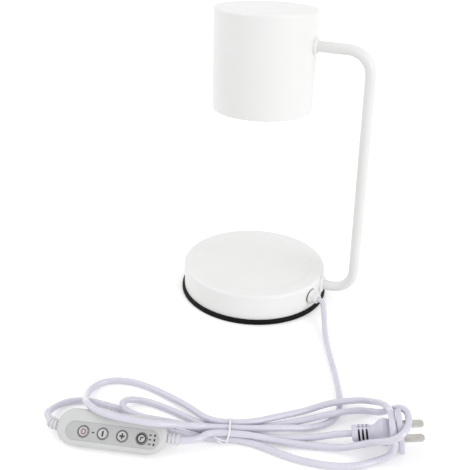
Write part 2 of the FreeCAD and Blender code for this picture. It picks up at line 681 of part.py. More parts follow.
# --- shade ----------------------------------------------------------------
def shade_shell():
    """Drawn cup, closed above and open below, with a small inward lip."""
    r, w, e = SHADE_RADIUS, SHADE_WALL, SHADE_EDGE_RADIUS
    lip = SHADE_LIP
    outline = eased(r - lip, SHADE_BOTTOM + lip, lip, 270, 360) + eased(r - e, SHADE_TOP - e, e, 0, 90)
    outline += [(0, SHADE_TOP), (0, SHADE_TOP - w)] + eased(r - e, SHADE_TOP - e, e - w, 90, 0)
    outline += [(r - w, SHADE_BOTTOM + 2 * lip + w), (r - w - lip, SHADE_BOTTOM + lip + w),
                (r - w - lip, SHADE_BOTTOM)]
    shell = turned(outline)
    return shell.cut(nipple_hole(r, ARM_UPPER_Z))


def shade_strap():
    """Bent strip that hangs the lamp holder from the arm's nipple."""
    t, b = STRAP_THICKNESS, STRAP_BEND
    x_out = strap_inner_x() + t
    end_x = -HOLDER_RADIUS - STRAP_OVERHANG
    centre = (x_out - b - t, STRAP_TOP - b - t)
    outline = [(x_out, STRAP_BOTTOM), arc(*centre, b + t, 0, 90), (end_x, STRAP_TOP), (end_x, STRAP_TOP - t),
               arc(*centre, b, 90, 0), (x_out - t, STRAP_BOTTOM)]
    strip = outline_face(outline, lambda x, z: V(x, -STRAP_WIDTH / 2, z)).extrude(V(0, STRAP_WIDTH, 0))
    strip = strip.cut(disc(NIPPLE_RADIUS, 4 * t, V(x_out - 2 * t, 0, ARM_UPPER_Z), X_AXIS))
    for s in (-1, 1):
        strip = strip.cut(disc(HOLDER_SCREW_RADIUS, 2 * t, V(s * HOLDER_SCREW_X, 0, STRAP_TOP - 1.5 * t)))
    return strip


# --- lamp holder and bulb -------------------------------------------------
def key_slot(side):
    """One keyhole of the holder: round entry, then an arc slot for the pin's neck."""
    z0 = HOLDER_BOTTOM - 1
    h = HOLDER_FLOOR + 2
    neck = PIN_NECK_RADIUS + PIN_CLEARANCE
    entry_angle = math.radians(90 * side - KEY_SWEEP)
    entry = disc(PIN_HEAD_RADIUS + PIN_CLEARANCE, h, V(PIN_CIRCLE * math.cos(entry_angle),
                                                       PIN_CIRCLE * math.sin(entry_angle), z0))
    locked = V(0, PIN_CIRCLE * side, z0)
    ring = disc(PIN_CIRCLE + neck, h, V(0, 0, z0)).cut(disc(PIN_CIRCLE - neck, h, V(0, 0, z0)))
    wedge_end = V(20 * math.cos(entry_angle), 20 * math.sin(entry_angle), z0)
    wedge = Part.Face(polygon_wire([V(0, 0, z0), wedge_end, V(0, 20 * side, z0)])).extrude(V(0, 0, h))
    return entry.fuse([disc(neck, h, locked), ring.common(wedge)])


def lamp_holder():
    top = HOLDER_TOP
    r, rw = HOLDER_RADIUS, HOLDER_RADIUS - HOLDER_WAIST_INSET
    waist_low = HOLDER_BOTTOM + HOLDER_SKIRT_HEIGHT
    waist_high = waist_low + HOLDER_WAIST_HEIGHT
    e = HOLDER_EDGE
    body = turned([(0, HOLDER_BOTTOM), (r - e, HOLDER_BOTTOM), (r, HOLDER_BOTTOM + e), (r, waist_low - e),
                   (rw, waist_low), (rw, waist_high), (r - e / 2, waist_high + e), (r - e / 2, top - e / 2),
                   (r - e, top), (0, top)])
    cavity_z = HOLDER_BOTTOM + HOLDER_FLOOR
    cavity = disc(CAVITY_OUTER_RADIUS, HOLDER_CAVITY_TOP - cavity_z, V(0, 0, cavity_z))
    cavity = cavity.cut(disc(CAVITY_INNER_RADIUS, HOLDER_CAVITY_TOP - cavity_z, V(0, 0, cavity_z)))
    body = body.cut(cavity)
    for s in (-1, 1):
        body = body.cut(key_slot(s))
        depth = HOLDER_SCREW_DEPTH + HOLDER_SCREW_SPARE
        body = body.cut(disc(HOLDER_SCREW_RADIUS, depth, V(s * HOLDER_SCREW_X, 0, top - depth)))
        lead_end = V(LEAD_END_X, s * LEAD_SPACING, LEAD_TOP_Z)
        body = body.cut(disc(LEAD_RADIUS, 2 * LEAD_HOLE_DEPTH, lead_end, X_AXIS))
    return body


def holder_screws():
    out = []
    for s in (-1, 1):
        seat = V(s * HOLDER_SCREW_X, 0, STRAP_TOP)
        head = disc(HOLDER_SCREW_HEAD_RADIUS, HOLDER_SCREW_HEAD_HEIGHT, seat)
        half = HOLDER_SCREW_SLOT / 2
        head_top = STRAP_TOP + HOLDER_SCREW_HEAD_HEIGHT
        slot = box(seat.x - HOLDER_SCREW_HEAD_RADIUS, seat.x + HOLDER_SCREW_HEAD_RADIUS, -half, half,
                   head_top - HOLDER_SCREW_SLOT_DEPTH, head_top)
        shank = disc(HOLDER_SCREW_RADIUS, HOLDER_SCREW_DEPTH + STRAP_THICKNESS,
                     seat - V(0, 0, HOLDER_SCREW_DEPTH + STRAP_THICKNESS))
        out.append(head.cut(slot).fuse(shank))
    return Part.makeCompound(out)


def lamp_leads():
    """Sleeved wires: cord to the arm's lower nipple, and upper nipple to the holder."""
    return Part.makeCompound(base_leads() + holder_leads())


def holder_leads():
    """Two sleeved wires from the arm's nipple up to the holder's side."""
    out = []
    mouth = wall_x(SHADE_RADIUS) + NIPPLE_IN_ARM - NIPPLE_LENGTH
    for s in (-1, 1):
        y0 = s * (LEAD_RADIUS + LEAD_GAP / 2)
        y1 = s * LEAD_SPACING
        points = [V(mouth + LEAD_INSERT, y0, ARM_UPPER_Z), V(mouth - LEAD_STRAIGHT, y0, ARM_UPPER_Z),
                  V(HOLDER_RADIUS + LEAD_STRAIGHT, y1, LEAD_TOP_Z), V(LEAD_END_X, y1, LEAD_TOP_Z)]
        path, _ = rounded_path(points, cord_radius)
        out.append(tube_along(path, LEAD_RADIUS))
    return out


def bowl_steps(offset):
    """Side of the bulb's bowl from the rim to the neck, in short conical steps, pulled in by the offset."""
    rim = V(BULB_RADIUS - BULB_RIM_STEP - offset, 0, BULB_FACE + BULB_RIM_HEIGHT + BULB_RIM_STEP)
    neck = V(BULB_NECK_RADIUS - offset, 0, BULB_NECK_Z)
    chord = neck - rim
    outward = V(chord.z, 0, -chord.x).normalize()
    side = Part.Arc(rim, (rim + neck) / 2 + outward * BOWL_BULGE, neck)
    return [(p.x, p.z) for p in side.toShape().discretize(BOWL_STEPS + 1)]


def bulb_reflector():
    """Pressed glass bowl with its rim, neck and the seat for the capsule."""
    neck_top = BULB_NECK_Z + BULB_NECK_LENGTH
    floor = BULB_NECK_Z + BULB_WALL / 2
    outline = [(BULB_RADIUS, BULB_FACE), (BULB_RADIUS, BULB_FACE + BULB_RIM_HEIGHT)] + bowl_steps(0)
    outline += [(BULB_NECK_RADIUS, neck_top), (CAPSULE_STEM_RADIUS, neck_top), (CAPSULE_STEM_RADIUS, floor),
                (BULB_NECK_RADIUS - BULB_WALL, floor)]
    outline += bowl_steps(BULB_WALL)[::-1]
    outline += [(LENS_RADIUS, BULB_FACE + BULB_RIM_HEIGHT), (LENS_RADIUS, BULB_FACE)]
    return turned(outline)


def bulb_lens():
    c = LENS_EDGE
    high = BULB_FACE + BULB_RIM_HEIGHT
    low = high - LENS_THICKNESS
    return turned([(0, low), (LENS_RADIUS - c, low), (LENS_RADIUS, low + c), (LENS_RADIUS, high), (0, high)])


def bulb_capsule():
    """Quartz capsule with its pinched stem, seated in the bowl's neck."""
    r = CAPSULE_RADIUS
    z = CAPSULE_BOTTOM
    seat = BULB_NECK_Z + BULB_NECK_LENGTH
    shoulder = BULB_NECK_Z - CAPSULE_PINCH
    outline = eased(0, z + r, r, -90, 0) + [(r, shoulder - CAPSULE_PINCH), (CAPSULE_STEM_RADIUS, shoulder),
                                            (CAPSULE_STEM_RADIUS, seat), (0, seat)]
    return turned(outline)


def bulb_base():
    """Ceramic base that grips the bowl's neck and carries the two pins."""
    low = BULB_NECK_Z + BULB_BASE_LIFT
    c = BULB_BASE_CHAMFER
    r = BULB_BASE_RADIUS
    body = turned([(0, low), (r - c / 2, low), (r, low + c / 2), (r, BULB_TOP - c), (r - c, BULB_TOP),
                   (0, BULB_TOP)])
    body = body.cut(disc(BULB_NECK_RADIUS, BULB_NECK_Z + BULB_NECK_LENGTH - low, V(0, 0, low)))
    for s in (-1, 1):
        side = s * r
        body = body.cut(box(-r, r, side - BULB_FLAT_DEPTH, side + BULB_FLAT_DEPTH, BULB_TOP - BULB_FLAT_HEIGHT,
                            BULB_TOP))
        body = body.cut(disc(PIN_NECK_RADIUS, PIN_ROOT, V(0, s * PIN_CIRCLE, BULB_TOP - PIN_ROOT)))
    return body


def bulb_pins():
    pins = []
    for s in (-1, 1):
        at = V(0, s * PIN_CIRCLE, 0)
        neck_length = PIN_ROOT + PIN_LENGTH - PIN_HEAD_HEIGHT
        neck = disc(PIN_NECK_RADIUS, neck_length, at + V(0, 0, BULB_TOP - PIN_ROOT))
        head_z = BULB_TOP + PIN_LENGTH - PIN_HEAD_HEIGHT
        head_top = head_z + PIN_HEAD_HEIGHT
        head = turned([(0, head_z), (PIN_HEAD_RADIUS, head_z), (PIN_HEAD_RADIUS, head_top - PIN_HEAD_CHAMFER),
                       (PIN_HEAD_RADIUS - PIN_HEAD_CHAMFER, head_top), (0, head_top)])
        head.translate(at)
        pins.append(neck.fuse(head))
    return Part.makeCompound(pins)


# --- cord entry -----------------------------------------------------------
def gland_placed(shape):
    """A shape built along +X moved onto the cord entry's radial line."""
    return placed(shape, V(0, 0, GLAND_Z), GLAND_AZIMUTH)


def cord_gland():
    r0 = BASE_RADIUS
    end = GLAND_NOSE
    fr = GLAND_FLANGE_RADIUS
    nr = GLAND_NOSE_RADIUS
    high = r0 + GLAND_FLANGE
    half = (end - high) / 2
    dome = [(fr, r0 - GLAND_LAP), (fr, high), (0.9 * fr, high + 0.2 * half), (0.8 * fr, high + 0.5 * half),
            (0.73 * fr, high + half), (nr + 0.1 * fr, end - 0.4 * half), (nr, end)]
    body = turned([(CORD_RADIUS, r0 - GLAND_LAP)] + dome + [(CORD_RADIUS, end)], X_AXIS)
    wall = gland_axis_cylinder()
    shank = disc(GLAND_SHANK_RADIUS, r0 + 1 - GLAND_SHANK_END, V(GLAND_SHANK_END, 0, 0), X_AXIS)
    shank = shank.cut(disc(CORD_RADIUS, r0 + 1 - GLAND_SHANK_END, V(GLAND_SHANK_END, 0, 0), X_AXIS))
    return gland_placed(body.cut(wall).fuse(shank))


def gland_axis_cylinder():
    return disc(BASE_RADIUS, 40, V(0, 0, -20))


def gland_nut():
    inner = BASE_RADIUS - BASE_WALL
    seat = math.sqrt(inner ** 2 - GLAND_NUT_RADIUS ** 2)
    nut = hexagon(GLAND_NUT_RADIUS, GLAND_NUT_THICKNESS, NUT_CHAMFER)
    nut = nut.cut(disc(GLAND_SHANK_RADIUS, GLAND_NUT_THICKNESS, V(0, 0, 0), X_AXIS))
    nut.translate(V(seat - GLAND_NUT_THICKNESS, 0, 0))
    return gland_placed(nut)


def cord_tail():
    """The cord's sheath inside the gland, down to where it is stripped."""
    return gland_placed(disc(CORD_RADIUS, GLAND_NOSE - CORD_TAIL_END, V(CORD_TAIL_END, 0, 0), X_AXIS))


def base_leads():
    """Two sleeved wires from the stripped cord to the arm's lower nipple."""
    turn = math.radians(GLAND_AZIMUTH)
    run = V(math.cos(turn), math.sin(turn), 0)
    side = V(-math.sin(turn), math.cos(turn), 0)
    mouth = wall_x(BASE_RADIUS) + NIPPLE_IN_ARM - NIPPLE_LENGTH
    out = []
    for s in (-1, 1):
        shift = s * (LEAD_RADIUS + LEAD_GAP / 2)
        start = run * CORD_TAIL_END + side * shift + V(0, 0, GLAND_Z)
        first = start - run * LEAD_STRAIGHT
        last = V(mouth - LEAD_INSERT - LEAD_STRAIGHT, shift, ARM_LOWER_Z)
        elbow = V(first.x - LEAD_SLACK, (first.y + last.y) / 2, (first.z + last.z) / 2)
        points = [start, first, elbow, last, V(mouth + LEAD_INSERT, shift, ARM_LOWER_Z)]
        path, _ = rounded_path(points, cord_radius)
        out.append(tube_along(path, LEAD_RADIUS))
    return out


# --- controller -----------------------------------------------------------
def half_pebble(shoulder, inset, up):
    """Half of the rounded housing, above (up = 1) or below (up = -1) its parting plane."""
    half = CONTROL_WIDTH / 2 - inset
    r = shoulder - inset
    run = CONTROL_LENGTH / 2 - CONTROL_WIDTH / 2

    def place(y, z):
        return V(-run, y, up * z)
    side = eased(half - r, 0, r, 0, 90, PEBBLE_STEPS)
    quarter = outline_face([(0, 0)] + side + [(0, r)], lambda y, z: V(0, y, up * z))
    ends = []
    for s in (-1, 1):
        end = quarter.revolve(V(0, 0, 0), Z_AXIS, 360)
        end.translate(V(s * run, 0, 0))
        ends.append(end)
    section = outline_face(side + [(-y, z) for y, z in reversed(side)], place)
    return section.extrude(V(2 * run, 0, 0)).fuse(ends).removeSplitter()


def stadium(x0, x1, width, z0, height, y=0.0):
    """Long plate with round ends."""
    r = width / 2
    plate = box(x0 + r, x1 - r, y - r, y + r, z0, z0 + height)
    return plate.fuse([disc(r, height, V(x0 + r, y, z0)), disc(r, height, V(x1 - r, y, z0))]).removeSplitter()


def control_placed(shape):
    return placed(shape, CONTROL_CENTRE, CONTROL_YAW, 0, CONTROL_ROLL)


def neck_cut(half):
    """Openings for the two cord reliefs through a housing half."""
    end = CONTROL_LENGTH / 2
    for s in (-1, 1):
        half = half.cut(disc(RELIEF_NECK_RADIUS, 8, V(s * (end - 6), 0, -RELIEF_DROP), V(s, 0, 0)))
    return half


def panel_floor():
    return CAP_SHOULDER - PANEL_SINK - PANEL_THICKNESS


def led_points():
    points = [(x, PANEL_OFFSET + LED_PITCH * i) for x in LED_X for i in (-1, 0, 1)]
    return points + [(POWER_LED_X, PANEL_OFFSET)]


def controller_cap():
    cap = half_pebble(CAP_SHOULDER, 0, 1).cut(half_pebble(CAP_SHOULDER, CONTROL_WALL, 1))
    gap = PANEL_EDGE_GAP
    recess = stadium(PANEL_LEFT - gap, PANEL_RIGHT + gap, PANEL_WIDTH + 2 * gap, panel_floor(), CAP_SHOULDER,
                     PANEL_OFFSET)
    cap = cap.cut(recess)
    cutters = [disc(BUTTON_RADIUS + BUTTON_GAP, 4, V(x, PANEL_OFFSET, 0)) for x in BUTTON_X]
    cutters += [disc(LED_RADIUS, 4, V(x, y, 0)) for x, y in led_points()]
    return control_placed(neck_cut(cap.cut(cutters)))


def controller_panel():
    panel = stadium(PANEL_LEFT, PANEL_RIGHT, PANEL_WIDTH, panel_floor(), PANEL_THICKNESS, PANEL_OFFSET)
    cutters = [disc(BUTTON_RADIUS + BUTTON_GAP, 4, V(x, PANEL_OFFSET, 0)) for x in BUTTON_X]
    cutters += [disc(LED_RADIUS, 4, V(x, y, 0)) for x, y in led_points()]
    return control_placed(panel.cut(cutters))


def controller_base():
    belly = half_pebble(BELLY_SHOULDER, 0, -1)
    hollow = half_pebble(BELLY_SHOULDER, CONTROL_WALL, -1)
    board_low = BOARD_TOP - BOARD_THICKNESS
    outer_floor = -BELLY_SHOULDER
    boss_height = board_low - outer_floor
    bosses = [disc(BOARD_POST_RADIUS, boss_height, V(x, 0, outer_floor)) for x in BOARD_POST_X]
    bosses += [disc(HOUSING_BOSS_RADIUS, boss_height, V(x, 0, outer_floor)) for x in HOUSING_SCREW_X]
    base = belly.cut(hollow.cut(bosses))
    for x in HOUSING_SCREW_X:
        seat_depth = HOUSING_SCREW_SINK + HOUSING_SCREW_HEAD
        base = base.cut(disc(HOUSING_SCREW_HEAD_RADIUS + HOUSING_SCREW_GAP, seat_depth, V(x, 0, outer_floor)))
        base = base.cut(disc(HOUSING_SCREW_RADIUS, boss_height, V(x, 0, outer_floor)))
    return control_placed(neck_cut(base))


def controller_screws():
    out = []
    low = -BELLY_SHOULDER + HOUSING_SCREW_SINK
    seat = low + HOUSING_SCREW_HEAD
    for x in HOUSING_SCREW_X:
        head = disc(HOUSING_SCREW_HEAD_RADIUS, HOUSING_SCREW_HEAD, V(x, 0, low))
        shank = disc(HOUSING_SCREW_RADIUS, BOARD_TOP - seat, V(x, 0, seat))
        socket = disc(HOUSING_SCREW_RADIUS / 2, HOUSING_SCREW_HEAD / 2, V(x, 0, low))
        out.append(head.fuse(shank).cut(socket))
    return control_placed(Part.makeCompound(out))


def controller_board():
    board = box(-BOARD_LENGTH / 2, BOARD_LENGTH / 2, -BOARD_WIDTH / 2, BOARD_WIDTH / 2,
                BOARD_TOP - BOARD_THICKNESS, BOARD_TOP)
    edges = [e for e in board.Edges if abs(e.BoundBox.ZLength - BOARD_THICKNESS) < 1e-6]
    board = board.makeFillet(BOARD_CORNER, edges)
    for x in HOUSING_SCREW_X:
        board = board.cut(disc(HOUSING_SCREW_RADIUS, BOARD_THICKNESS, V(x, 0, BOARD_TOP - BOARD_THICKNESS)))
    return control_placed(board)


def button_low():
    """Underside of a button's stem."""
    return BOARD_TOP + SWITCH_HEIGHT + SWITCH_PLUNGER_HEIGHT + BUTTON_SWITCH_GAP


def button(x):
    """Push button: cap through the panel, hidden flange that retains it, stem to its switch."""
    cap_under = CAP_SHOULDER - CONTROL_WALL
    flange_top = cap_under - BUTTON_FLANGE_GAP
    flange_low = flange_top - BUTTON_FLANGE
    top = CAP_SHOULDER - PANEL_SINK + BUTTON_STAND
    r, e = BUTTON_RADIUS, BUTTON_EDGE
    flange = r + BUTTON_FLANGE_WIDTH
    rim = r - BUTTON_RIM
    dish = top - BUTTON_DISH_DEPTH
    body = turned([(0, flange_low), (flange, flange_low), (flange, flange_top), (r, flange_top), (r, top - e),
                   (r - e, top), (rim, top), (rim - BUTTON_DISH_DEPTH, dish), (0, dish)])
    body.translate(V(x, PANEL_OFFSET, 0))
    stem = disc(BUTTON_STEM_RADIUS, flange_low - button_low(), V(x, PANEL_OFFSET, button_low()))
    return control_placed(body.fuse(stem))


def button_switches():
    out = []
    for x in BUTTON_X:
        s = SWITCH_SIDE / 2
        can = box(x - s, x + s, PANEL_OFFSET - s, PANEL_OFFSET + s, BOARD_TOP, BOARD_TOP + SWITCH_HEIGHT)
        high = SWITCH_HEIGHT + SWITCH_PLUNGER_HEIGHT
        plunger = disc(SWITCH_PLUNGER_RADIUS, high, V(x, PANEL_OFFSET, BOARD_TOP))
        out.append(can.fuse(plunger))
    return control_placed(Part.makeCompound(out))


def panel_lights():
    """Indicator pipes from the board up to the panel's face."""
    top = CAP_SHOULDER - PANEL_SINK
    pipes = [disc(LED_RADIUS, top - BOARD_TOP, V(x, y, BOARD_TOP)) for x, y in led_points()]
    return control_placed(Part.makeCompound(pipes))


def relief_root(sign):
    """Inner flange and neck that hold a relief in the housing's end."""
    end = CONTROL_LENGTH / 2
    seat = end - RELIEF_FLANGE_INSET
    out = V(sign, 0, 0)
    flange = disc(RELIEF_FLANGE_RADIUS, RELIEF_FLANGE, V(sign * (seat - RELIEF_FLANGE), 0, 0), out)
    neck = disc(RELIEF_NECK_RADIUS, RELIEF_FLANGE_INSET + RELIEF_RIB_WIDTH / 2, V(sign * seat, 0, 0), out)
    return flange.fuse(neck)


def rib(at, run):
    return disc(RELIEF_RIB_RADIUS, RELIEF_RIB_WIDTH, at - run * (RELIEF_RIB_WIDTH / 2), run)


def relief_right():
    end = CONTROL_LENGTH / 2
    core = disc(RELIEF_CORE_RADIUS, RELIEF_LENGTH - RELIEF_GAP, V(end + RELIEF_GAP, 0, 0), X_AXIS)
    ribs = [rib(V(end + RELIEF_LENGTH * share, 0, 0), X_AXIS) for share in RELIEF_RIB_SHARES]
    body = core.fuse(ribs)
    return placed(body.fuse(relief_root(1)), relief_axis_centre(), CONTROL_YAW)


def relief_left():
    end = CONTROL_LENGTH / 2
    radius, _, _, _ = relief_arc()
    bend = math.radians(RELIEF_BEND)

    def on_arc(a):
        return V(-end - radius * math.sin(a), radius * (1 - math.cos(a)), 0), V(-math.cos(a), math.sin(a), 0)

    start, _ = on_arc(RELIEF_GAP / radius)
    middle, _ = on_arc(bend / 2)
    tip, _ = on_arc(bend)
    path = Part.Wire([Part.Arc(start, middle, tip).toShape()])
    core = tube_along(path, RELIEF_CORE_RADIUS)
    ribs = [rib(*on_arc(bend * share)) for share in RELIEF_RIB_SHARES]
    return placed(core.fuse(ribs).fuse(relief_root(-1)), relief_axis_centre(), CONTROL_YAW)


# --- plug -----------------------------------------------------------------
def plug_placed(shape):
    return placed(shape, PLUG_TAIL, PLUG_YAW, -PLUG_PITCH, 0)


def plug_section(x, half_width, half_height):
    """Upright oval across the plug at x."""
    oval = Part.Ellipse(V(x, 0, half_height), V(x, half_width, 0), V(x, 0, 0))
    return Part.Wire([oval.toShape()])


def plug_grip():
    """Slotted cord relief at the plug's tail."""
    grip = turned([(0, 0), (GRIP_RADIUS - GRIP_EDGE, 0), (GRIP_RADIUS, GRIP_EDGE), (GRIP_RADIUS, GRIP_LENGTH),
                   (0, GRIP_LENGTH)], X_AXIS)
    half = GRIP_SPINE + GRIP_SLOT_RISE
    dot = GRIP_DOT_WIDTH / 2
    for i in range(3):
        x0 = GRIP_FIRST_SLOT + GRIP_SLOT_PITCH * i - GRIP_SLOT / 2
        for s in (-1, 1):
            y0, y1 = sorted((s * GRIP_CORE_RADIUS, s * (GRIP_RADIUS + 1)))
            grip = grip.cut(box(x0, x0 + GRIP_SLOT, y0, y1, -half, half))
            z0, z1 = sorted((s * (GRIP_RADIUS - GRIP_DOT_DEPTH), s * (GRIP_RADIUS + 1)))
            grip = grip.cut(box(x0, x0 + GRIP_SLOT, -dot, dot, z0, z1))
    return grip


def plug_flange():
    """Upright plate with round ends that carries the blades."""
    r, e = FLANGE_WIDTH / 2, FLANGE_EDGE
    straight = FLANGE_HEIGHT / 2 - r
    x0 = FLANGE_START
    x1 = FLANGE_START + FLANGE_THICKNESS
    rim = eased(r - e, x0 + e, e, -90, 0) + eased(r - e, x1 - e, e, 0, 90)
    middle = rim + [(-y, x) for y, x in reversed(rim)]
    plate = outline_face(middle, lambda y, x: V(x, y, -straight)).extrude(V(0, 0, 2 * straight))
    ends = []
    for s in (-1, 1):
        end = turned([(0, x0)] + rim + [(0, x1)], X_AXIS)
        end.translate(V(0, 0, s * straight))
        ends.append(end)
    return plate.fuse(ends).removeSplitter()


def plug_profile():
    """(x, half width, half height) of the finger grip from the slotted tail to the flange."""
    start = GRIP_LENGTH - PLUG_LAP
    run = FLANGE_START + PLUG_LAP - start
    spine = Part.BSplineCurve()
    spine.interpolate([V(start + run * share, width, height) for share, width, height in PLUG_SHAPE])
    return [(p.x, p.y, p.z) for p in spine.toShape().discretize(PLUG_SECTIONS)]


def plug_body():
    head = Part.makeLoft([plug_section(*p) for p in plug_profile()], True, True)
    body = plug_grip().fuse(head).fuse(plug_flange())
    for blade in blade_bars():
        body = body.cut(blade)
    return plug_placed(body)


def blade_bars():
    """The two flat blades, one above the other, with bevelled ends."""
    face = FLANGE_START + FLANGE_THICKNESS
    tip = face + BLADE_LENGTH
    w = BLADE_WIDTH / 2
    b = BLADE_BEVEL
    bars = []
    for s in (-1, 1):
        z = s * BLADE_SPACING / 2 - BLADE_THICKNESS / 2
        outline = [V(face - BLADE_ROOT, -w, z), V(tip - b, -w, z), V(tip, -w + b, z), V(tip, w - b, z),
                   V(tip - b, w, z), V(face - BLADE_ROOT, w, z)]
        bars.append(Part.Face(polygon_wire(outline)).extrude(V(0, 0, BLADE_THICKNESS)))
    return bars


def plug_blades():
    return plug_placed(Part.makeCompound(blade_bars()))


# --- cords ----------------------------------------------------------------
def cord(points, name):
    path, radii = rounded_path(points, cord_radius)
    tube = tube_along(path, CORD_RADIUS)
    share = tube.Volume / (math.pi * CORD_RADIUS ** 2 * path.Length)
    least = [round(r, 1) for r in sorted(radii)[:8]]
    print(name, "length", round(path.Length, 1), "volume ratio", round(share, 4), "least bend radii", least)
    return tube


def bundle_slab(grow, width):
    """Rounded slab that fills the tie's loop round the strands, grown outward."""
    w = TIE_BUNDLE_WIDTH / 2 - CORD_RADIUS
    h = TIE_BUNDLE_HEIGHT / 2 - CORD_RADIUS
    r = CORD_RADIUS + grow
    outline = [arc(w, h, r, 0, 90), arc(-w, h, r, 90, 180), arc(-w, -h, r, 180, 270), arc(w, -h, r, 270, 360)]
    return outline_face(outline, lambda y, z: V(-width / 2, y, z)).extrude(V(width, 0, 0))


def twist_tie():
    """Flat band round the bundle with its two ends led out in front, side by side."""
    band = bundle_slab(TIE_BAND_THICKNESS, TIE_BAND_WIDTH).cut(bundle_slab(0, TIE_BAND_WIDTH))
    front = -TIE_BUNDLE_WIDTH / 2 - TIE_BAND_THICKNESS - TIE_TAIL_RADIUS + TIE_TAIL_SINK
    tails = []
    for s in (-1, 1):
        root = V(0, front, s * TIE_TAIL_SPACING / 2)
        elbow = root + TIE_TAIL_ROOT
        path, _ = rounded_path([root, elbow, elbow + TIE_TAIL_RUN], cord_radius)
        tails.append(tube_along(path, TIE_TAIL_RADIUS))
    return placed(band.fuse(tails[0]).fuse(tails[1]), TIE_CENTRE, TIE_YAW)


NODES = (
    ("base_shell", base_shell), ("foot_ring", foot_ring), ("base_plate", base_plate),
    ("base_weight", base_weight), ("base_posts", base_posts), ("base_screws", base_screws),
    ("arm_tube", arm_tube), ("arm_nipples", arm_nipples),
    ("collar_lower", lambda: collar(LOWER_COLLAR_RADIUS, BASE_RADIUS, ARM_LOWER_Z)),
    ("collar_upper", lambda: collar(UPPER_COLLAR_RADIUS, SHADE_RADIUS, ARM_UPPER_Z)),
    ("arm_washers", arm_washers), ("arm_nuts", arm_nuts),
    ("shade_shell", shade_shell), ("shade_strap", shade_strap),
    ("lamp_holder", lamp_holder), ("holder_screws", holder_screws), ("lamp_leads", lamp_leads),
    ("bulb_reflector", bulb_reflector), ("bulb_lens", bulb_lens), ("bulb_capsule", bulb_capsule),
    ("bulb_base", bulb_base), ("bulb_pins", bulb_pins),
    ("cord_gland", cord_gland), ("gland_nut", gland_nut), ("cord_tail", cord_tail),
    ("cord_lamp", lambda: cord(lamp_cord_points(), "cord_lamp")),
    ("cord_mains", lambda: cord(mains_cord_points(), "cord_mains")),
    ("twist_tie", twist_tie),
    ("controller_base", controller_base), ("controller_cap", controller_cap),
    ("controller_panel", controller_panel),
    ("controller_board", controller_board), ("controller_screws", controller_screws),
    ("button_switches", button_switches), ("panel_lights", panel_lights),
    ("button_power", lambda: button(BUTTON_X[0])), ("button_minus", lambda: button(BUTTON_X[1])),
    ("button_plus", lambda: button(BUTTON_X[2])), ("button_timer", lambda: button(BUTTON_X[3])),
    ("relief_left", relief_left), ("relief_right", relief_right),
    ("plug_body", plug_body), ("plug_blades", plug_blades),
)


def main():
    os.makedirs("parts", exist_ok=True)
    for name, make in NODES:
        shape = make()
        if not shape.isValid() or not shape.Solids:
            print("BAD SHAPE", name)
        print(name, len(shape.Solids), round(shape.Volume, 1))
        shape.exportStep("parts/" + name + ".step")


main()
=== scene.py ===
import bpy
import bmesh
import json
import math
from mathutils import Matrix, Vector
from mathutils.geometry import interpolate_bezier


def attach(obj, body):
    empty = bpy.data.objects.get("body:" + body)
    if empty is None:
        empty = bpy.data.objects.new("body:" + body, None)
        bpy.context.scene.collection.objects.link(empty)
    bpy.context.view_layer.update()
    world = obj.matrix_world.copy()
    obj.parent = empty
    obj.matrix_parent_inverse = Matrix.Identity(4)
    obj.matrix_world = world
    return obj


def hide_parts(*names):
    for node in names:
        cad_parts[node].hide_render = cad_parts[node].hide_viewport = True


# Candle warmer lamp: looks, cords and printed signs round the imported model.
# Metres; +Z is up, the base stands on z = 0 around the origin and the arm is at +X.

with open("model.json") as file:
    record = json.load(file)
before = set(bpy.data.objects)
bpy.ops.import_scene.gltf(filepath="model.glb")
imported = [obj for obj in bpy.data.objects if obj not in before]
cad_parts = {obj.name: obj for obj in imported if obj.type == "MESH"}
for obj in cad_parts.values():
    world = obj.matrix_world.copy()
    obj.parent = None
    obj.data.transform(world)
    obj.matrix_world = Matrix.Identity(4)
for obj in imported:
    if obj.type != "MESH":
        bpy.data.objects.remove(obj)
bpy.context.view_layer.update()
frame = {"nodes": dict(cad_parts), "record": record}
NODES = frame["nodes"]


def V(x, y, z):
    return Vector((x, y, z))


def turned(degrees, axis):
    return Matrix.Rotation(math.radians(degrees), 3, axis)


def link(name, data):
    """A new object of the scene."""
    item = bpy.data.objects.new(name, data)
    bpy.context.scene.collection.objects.link(item)
    return item


# --- camera -----------------------------------------------------------------
CAMERA_PLACE = (0.195864, -0.532394, 0.337268)
CAMERA_TURN = 22.211
CAMERA_DOWN = 26.451
CAMERA_ROLL = 1.864
CAMERA_LENS = 50.55
CAMERA_SENSOR = 36.0
CAMERA_NEAR = 0.01


def make_camera():
    data = bpy.data.cameras.new("camera")
    data.sensor_width = CAMERA_SENSOR
    data.lens = CAMERA_LENS
    data.clip_start = CAMERA_NEAR
    camera = link("camera", data)
    turn = Matrix.Rotation(math.radians(CAMERA_TURN), 4, "Z")
    tilt = Matrix.Rotation(math.radians(90.0 - CAMERA_DOWN), 4, "X")
    roll = Matrix.Rotation(math.radians(CAMERA_ROLL), 4, "Z")
    camera.matrix_world = Matrix.Translation(CAMERA_PLACE) @ turn @ tilt @ roll
    bpy.context.scene.camera = camera


make_camera()


# --- what the cords go to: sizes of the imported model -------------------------
BASE_RADIUS = 0.068
GLAND_AZIMUTH = math.radians(-17.53)
GLAND_Z = 0.0165
GLAND_NOSE = 0.07603
CONTROL_CENTRE = V(-0.0092, -0.2427, 0.01154)
CONTROL_TURN = turned(15.0, "Z")
CONTROL_FRAME = CONTROL_TURN @ turned(38.0, "X")
CONTROL_LENGTH = 0.078
RELIEF_DROP = 0.0028
RELIEF_LENGTH = 0.0085
RELIEF_BENT_LENGTH = 0.0075
RELIEF_BEND = math.radians(45.0)
PLUG_TAIL = V(0.1425, -0.1734, 0.0101)
PLUG_FRAME = turned(15.0, "Z") @ turned(-12.0, "Y")


